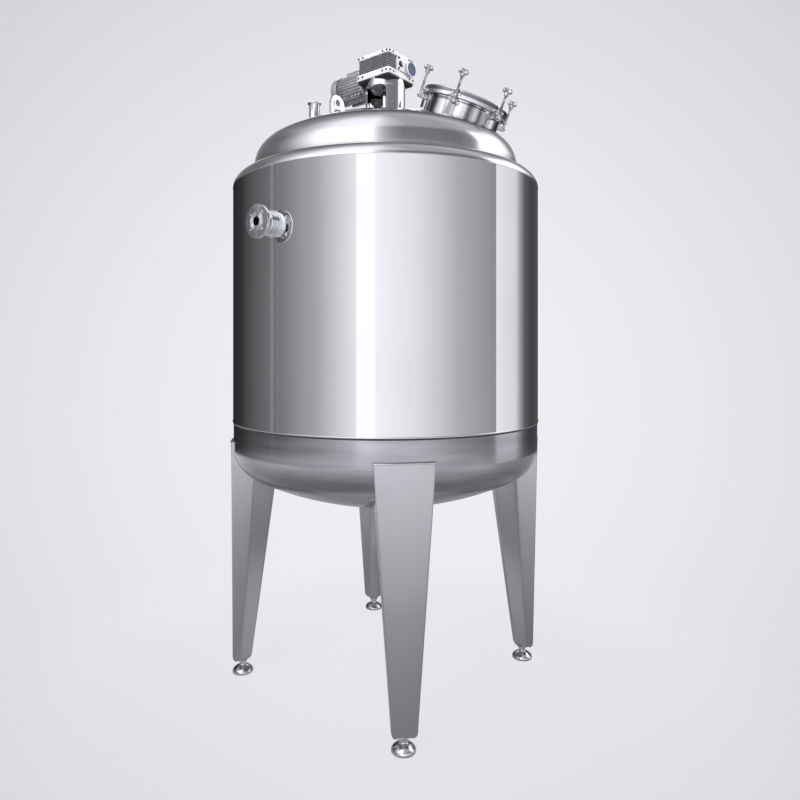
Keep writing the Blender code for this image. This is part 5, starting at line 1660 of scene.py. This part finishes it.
    def build_tent(self) -> None:
        """The studio round the tank, as a tent of glowing cloth that the camera doesn't see.

        Upright panels stand in a ring, each with a brightness that runs evenly across it. Above
        them the wall fades to the overhead light, a ceiling closes the tent, and under the tank
        lies a dark cloth that gets paler outwards. They light the tank and show in its steel.
        """
        ends, share = np.array(self.panels), np.linspace(0.0, 1.0, 9)
        theta, level = ((ends[:, [k]] + (ends[:, [k + 1]] - ends[:, [k]]) * share).ravel()
                        for k in (0, 2))
        sky, roof, cloth = (np.interp(theta, *np.array(table).T)
                            for table in (self.overhead, self.ceiling, self.ground_round))
        low, high = self.fade
        rows = [(r, self.cloth_z, v * cloth) for r, v in self.ground]
        rows += [(self.wall_r, z, level) for z in (self.cloth_z, low)]
        rows += [(self.wall_r, low + (high - low) * s, level + (sky - level) * s)
                 for s in (0.25, 0.5, 0.75, 1.0)]
        rows += [(self.wall_r, self.overhead_high, sky)]
        rows += [(r, self.ceiling_z,
                  self.zenith + (roof - self.zenith) * min(1.0, r / self.zenith_r))
                 for r in self.ceiling_rings]
        a, count = np.radians(self.camera_azimuth + theta), len(theta)
        points = np.stack([np.stack([r * np.cos(a), r * np.sin(a), np.full_like(a, z)], 1)
                           for r, z, _ in rows])
        glow = np.concatenate([v for _, _, v in rows])
        i, j = np.meshgrid(np.arange(len(rows) - 1), np.arange(count - 1), indexing="ij")
        first = (i * count + j).ravel()
        faces = np.stack([first, first + 1, first + count + 1, first + count], 1)
        mesh = bpy.data.meshes.new("studio_tent")
        mesh.from_pydata(points.reshape(-1, 3).tolist(), [], faces.tolist())
        layer = mesh.color_attributes.new("level", "FLOAT_COLOR", "POINT")
        layer.data.foreach_set("color", np.stack([glow, glow, glow, np.ones_like(glow)], 1).ravel())
        made = new_material("glowing_studio_cloth")
        tree = made.node_tree
        tree.nodes.clear()
        read = add_node(tree, "Attribute", attribute_name="level")
        light = add_node(tree, "Emission", {
            "Color": linear(self.tent_colour), "Strength": read.outputs["Fac"]})
        add_node(tree, "OutputMaterial", {"Surface": light.outputs["Emission"]})
        mesh.materials.append(made)
        item = put("studio_tent", mesh)
        item.visible_camera = item.visible_shadow = False

    def build_lamp(self) -> None:
        """A soft lamp at the left in front. It shades painted and cast parts, not the mirrors."""
        data = bpy.data.lights.new("studio_lamp", "AREA")
        data.shape, data.size, data.size_y = "RECTANGLE", self.lamp_size, self.lamp_size
        data.energy = self.lamp_watts
        item = put("studio_lamp", data)
        item.location = self.spot(*self.lamp_place)
        aim = Vector((0.0, 0.0, self.lamp_aim)) - item.location
        item.rotation_euler = aim.to_track_quat("-Z", "Y").to_euler()
        item.visible_camera = item.visible_glossy = False

    def build_floor(self) -> None:
        """A pale floor that fades into the backdrop: a disc that turns clear away from the tank."""
        rows = np.stack([hoop(r, -0.0005, 96) for r in self.floor_rings])
        mesh = mesh_of("studio_floor", [Grid(rows)], 30.0)
        bm = bmesh.new()
        bm.from_mesh(mesh)
        inner = [e for e in bm.edges if e.is_boundary and e.verts[0].co.length < 0.5]
        bmesh.ops.holes_fill(bm, edges=inner)
        bm.to_mesh(mesh)
        bm.free()
        mesh.materials.append(self.floor_material())
        put("studio_floor", mesh)

    def floor_material(self) -> bpy.types.Material:
        """The floor's material, which takes shadows.

        Cameras and mirrors see mostly the backdrop's colour behind each point, and with the
        distance from the tank nothing at all.

        Returns:
            The material.
        """
        made = new_material("matt_studio_floor")
        tree = made.node_tree
        shader = tree.nodes["Principled BSDF"]
        shader.inputs["Base Color"].default_value = linear(self.floor_colour)
        shader.inputs["Roughness"].default_value = 0.9
        spot = add_node(tree, "TexCoord").outputs["Object"]
        eye = self.spot(0.0, self.distance, self.height)
        sight = add_node(tree, "VectorMath", {0: spot, 1: eye}, operation="SUBTRACT")
        way = add_node(tree, "VectorMath", {0: sight.outputs["Vector"]}, operation="NORMALIZE")
        glow = add_node(tree, "Emission", {"Color": self.backdrop(tree, way.outputs["Vector"])})
        rays = add_node(tree, "LightPath").outputs
        mirrored = rays["Is Glossy Ray"]
        seen = add_maths(tree, "MAXIMUM", rays["Is Camera Ray"], mirrored)
        seen = add_maths(tree, "MAXIMUM", seen, rays["Is Transmission Ray"])
        seen = add_maths(tree, "MULTIPLY", seen, self.floor_glow)
        lit = add_node(tree, "MixShader", {
            0: seen, 1: shader.outputs["BSDF"], 2: glow.outputs["Emission"]})
        reach = add_node(tree, "VectorMath", {0: spot}, operation="LENGTH").outputs["Value"]
        share = add_range(tree, reach, self.floor_fade, kind="SMOOTHSTEP")
        veil = add_maths(tree, "MULTIPLY", mirrored, 1.0 - self.floor_mirrored)
        share = add_maths(tree, "MAXIMUM", share, veil)
        clear = add_node(tree, "BsdfTransparent")
        mixed = add_node(tree, "MixShader", {
            0: share, 1: lit.outputs["Shader"], 2: clear.outputs["BSDF"]})
        tree.links.new(mixed.outputs["Shader"], tree.nodes["Material Output"].inputs["Surface"])
        return made

    def build(self) -> None:
        """Builds all of it."""
        bpy.context.scene.view_settings.view_transform = "Standard"
        self.build_camera()
        self.build_world()
        self.build_tent()
        self.build_lamp()
        self.build_floor()


def dress_solids() -> None:
    """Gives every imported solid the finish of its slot, also those that a piece stands for."""
    by_slot = {finish.slot: finish for finish in (
        MIRROR_SHEET, SPUN_HEAD, TURNED, CAST, BLUE_PLASTIC, SILICONE, WOOL)}
    slots = {s["node"]: s["material_slot"] for s in frame["record"]["subparts"]}
    own = {"vessel_wall": SPUN_HEAD, "vessel_bottom": SPUN_HEAD, "insulation_wool": WOOL,
           "agitator_shaft": TURNED, "agitator_impeller": SPUN_HEAD}
    for name, item in frame["nodes"].items():
        finish = own.get(name) or by_slot[slots[name]]
        item.data.materials.clear()
        item.data.materials.append(finish.plain().material())


def main() -> None:
    """Builds the sub-assemblies in order, from the ground up."""
    logging.basicConfig(level=logging.INFO, format="%(name)s: %(message)s")
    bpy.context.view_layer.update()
    vessel = Vessel()
    vessel.build()
    for index in range(4):
        Leg(index + 1, -90.0 + 90.0 * index).build(vessel)
    Fittings().build(vessel)
    Manway().build(vessel)
    Drive().build(vessel)
    dress_solids()
    Studio().build()


with open("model.json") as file:
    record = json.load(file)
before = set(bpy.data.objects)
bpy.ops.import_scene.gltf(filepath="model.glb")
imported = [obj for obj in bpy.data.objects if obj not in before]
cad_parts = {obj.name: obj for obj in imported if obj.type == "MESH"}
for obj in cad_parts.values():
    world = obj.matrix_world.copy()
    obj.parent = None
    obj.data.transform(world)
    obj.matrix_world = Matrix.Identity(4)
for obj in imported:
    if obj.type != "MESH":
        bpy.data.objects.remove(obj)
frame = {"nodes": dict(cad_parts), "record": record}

if __name__ == "__main__":
    main()
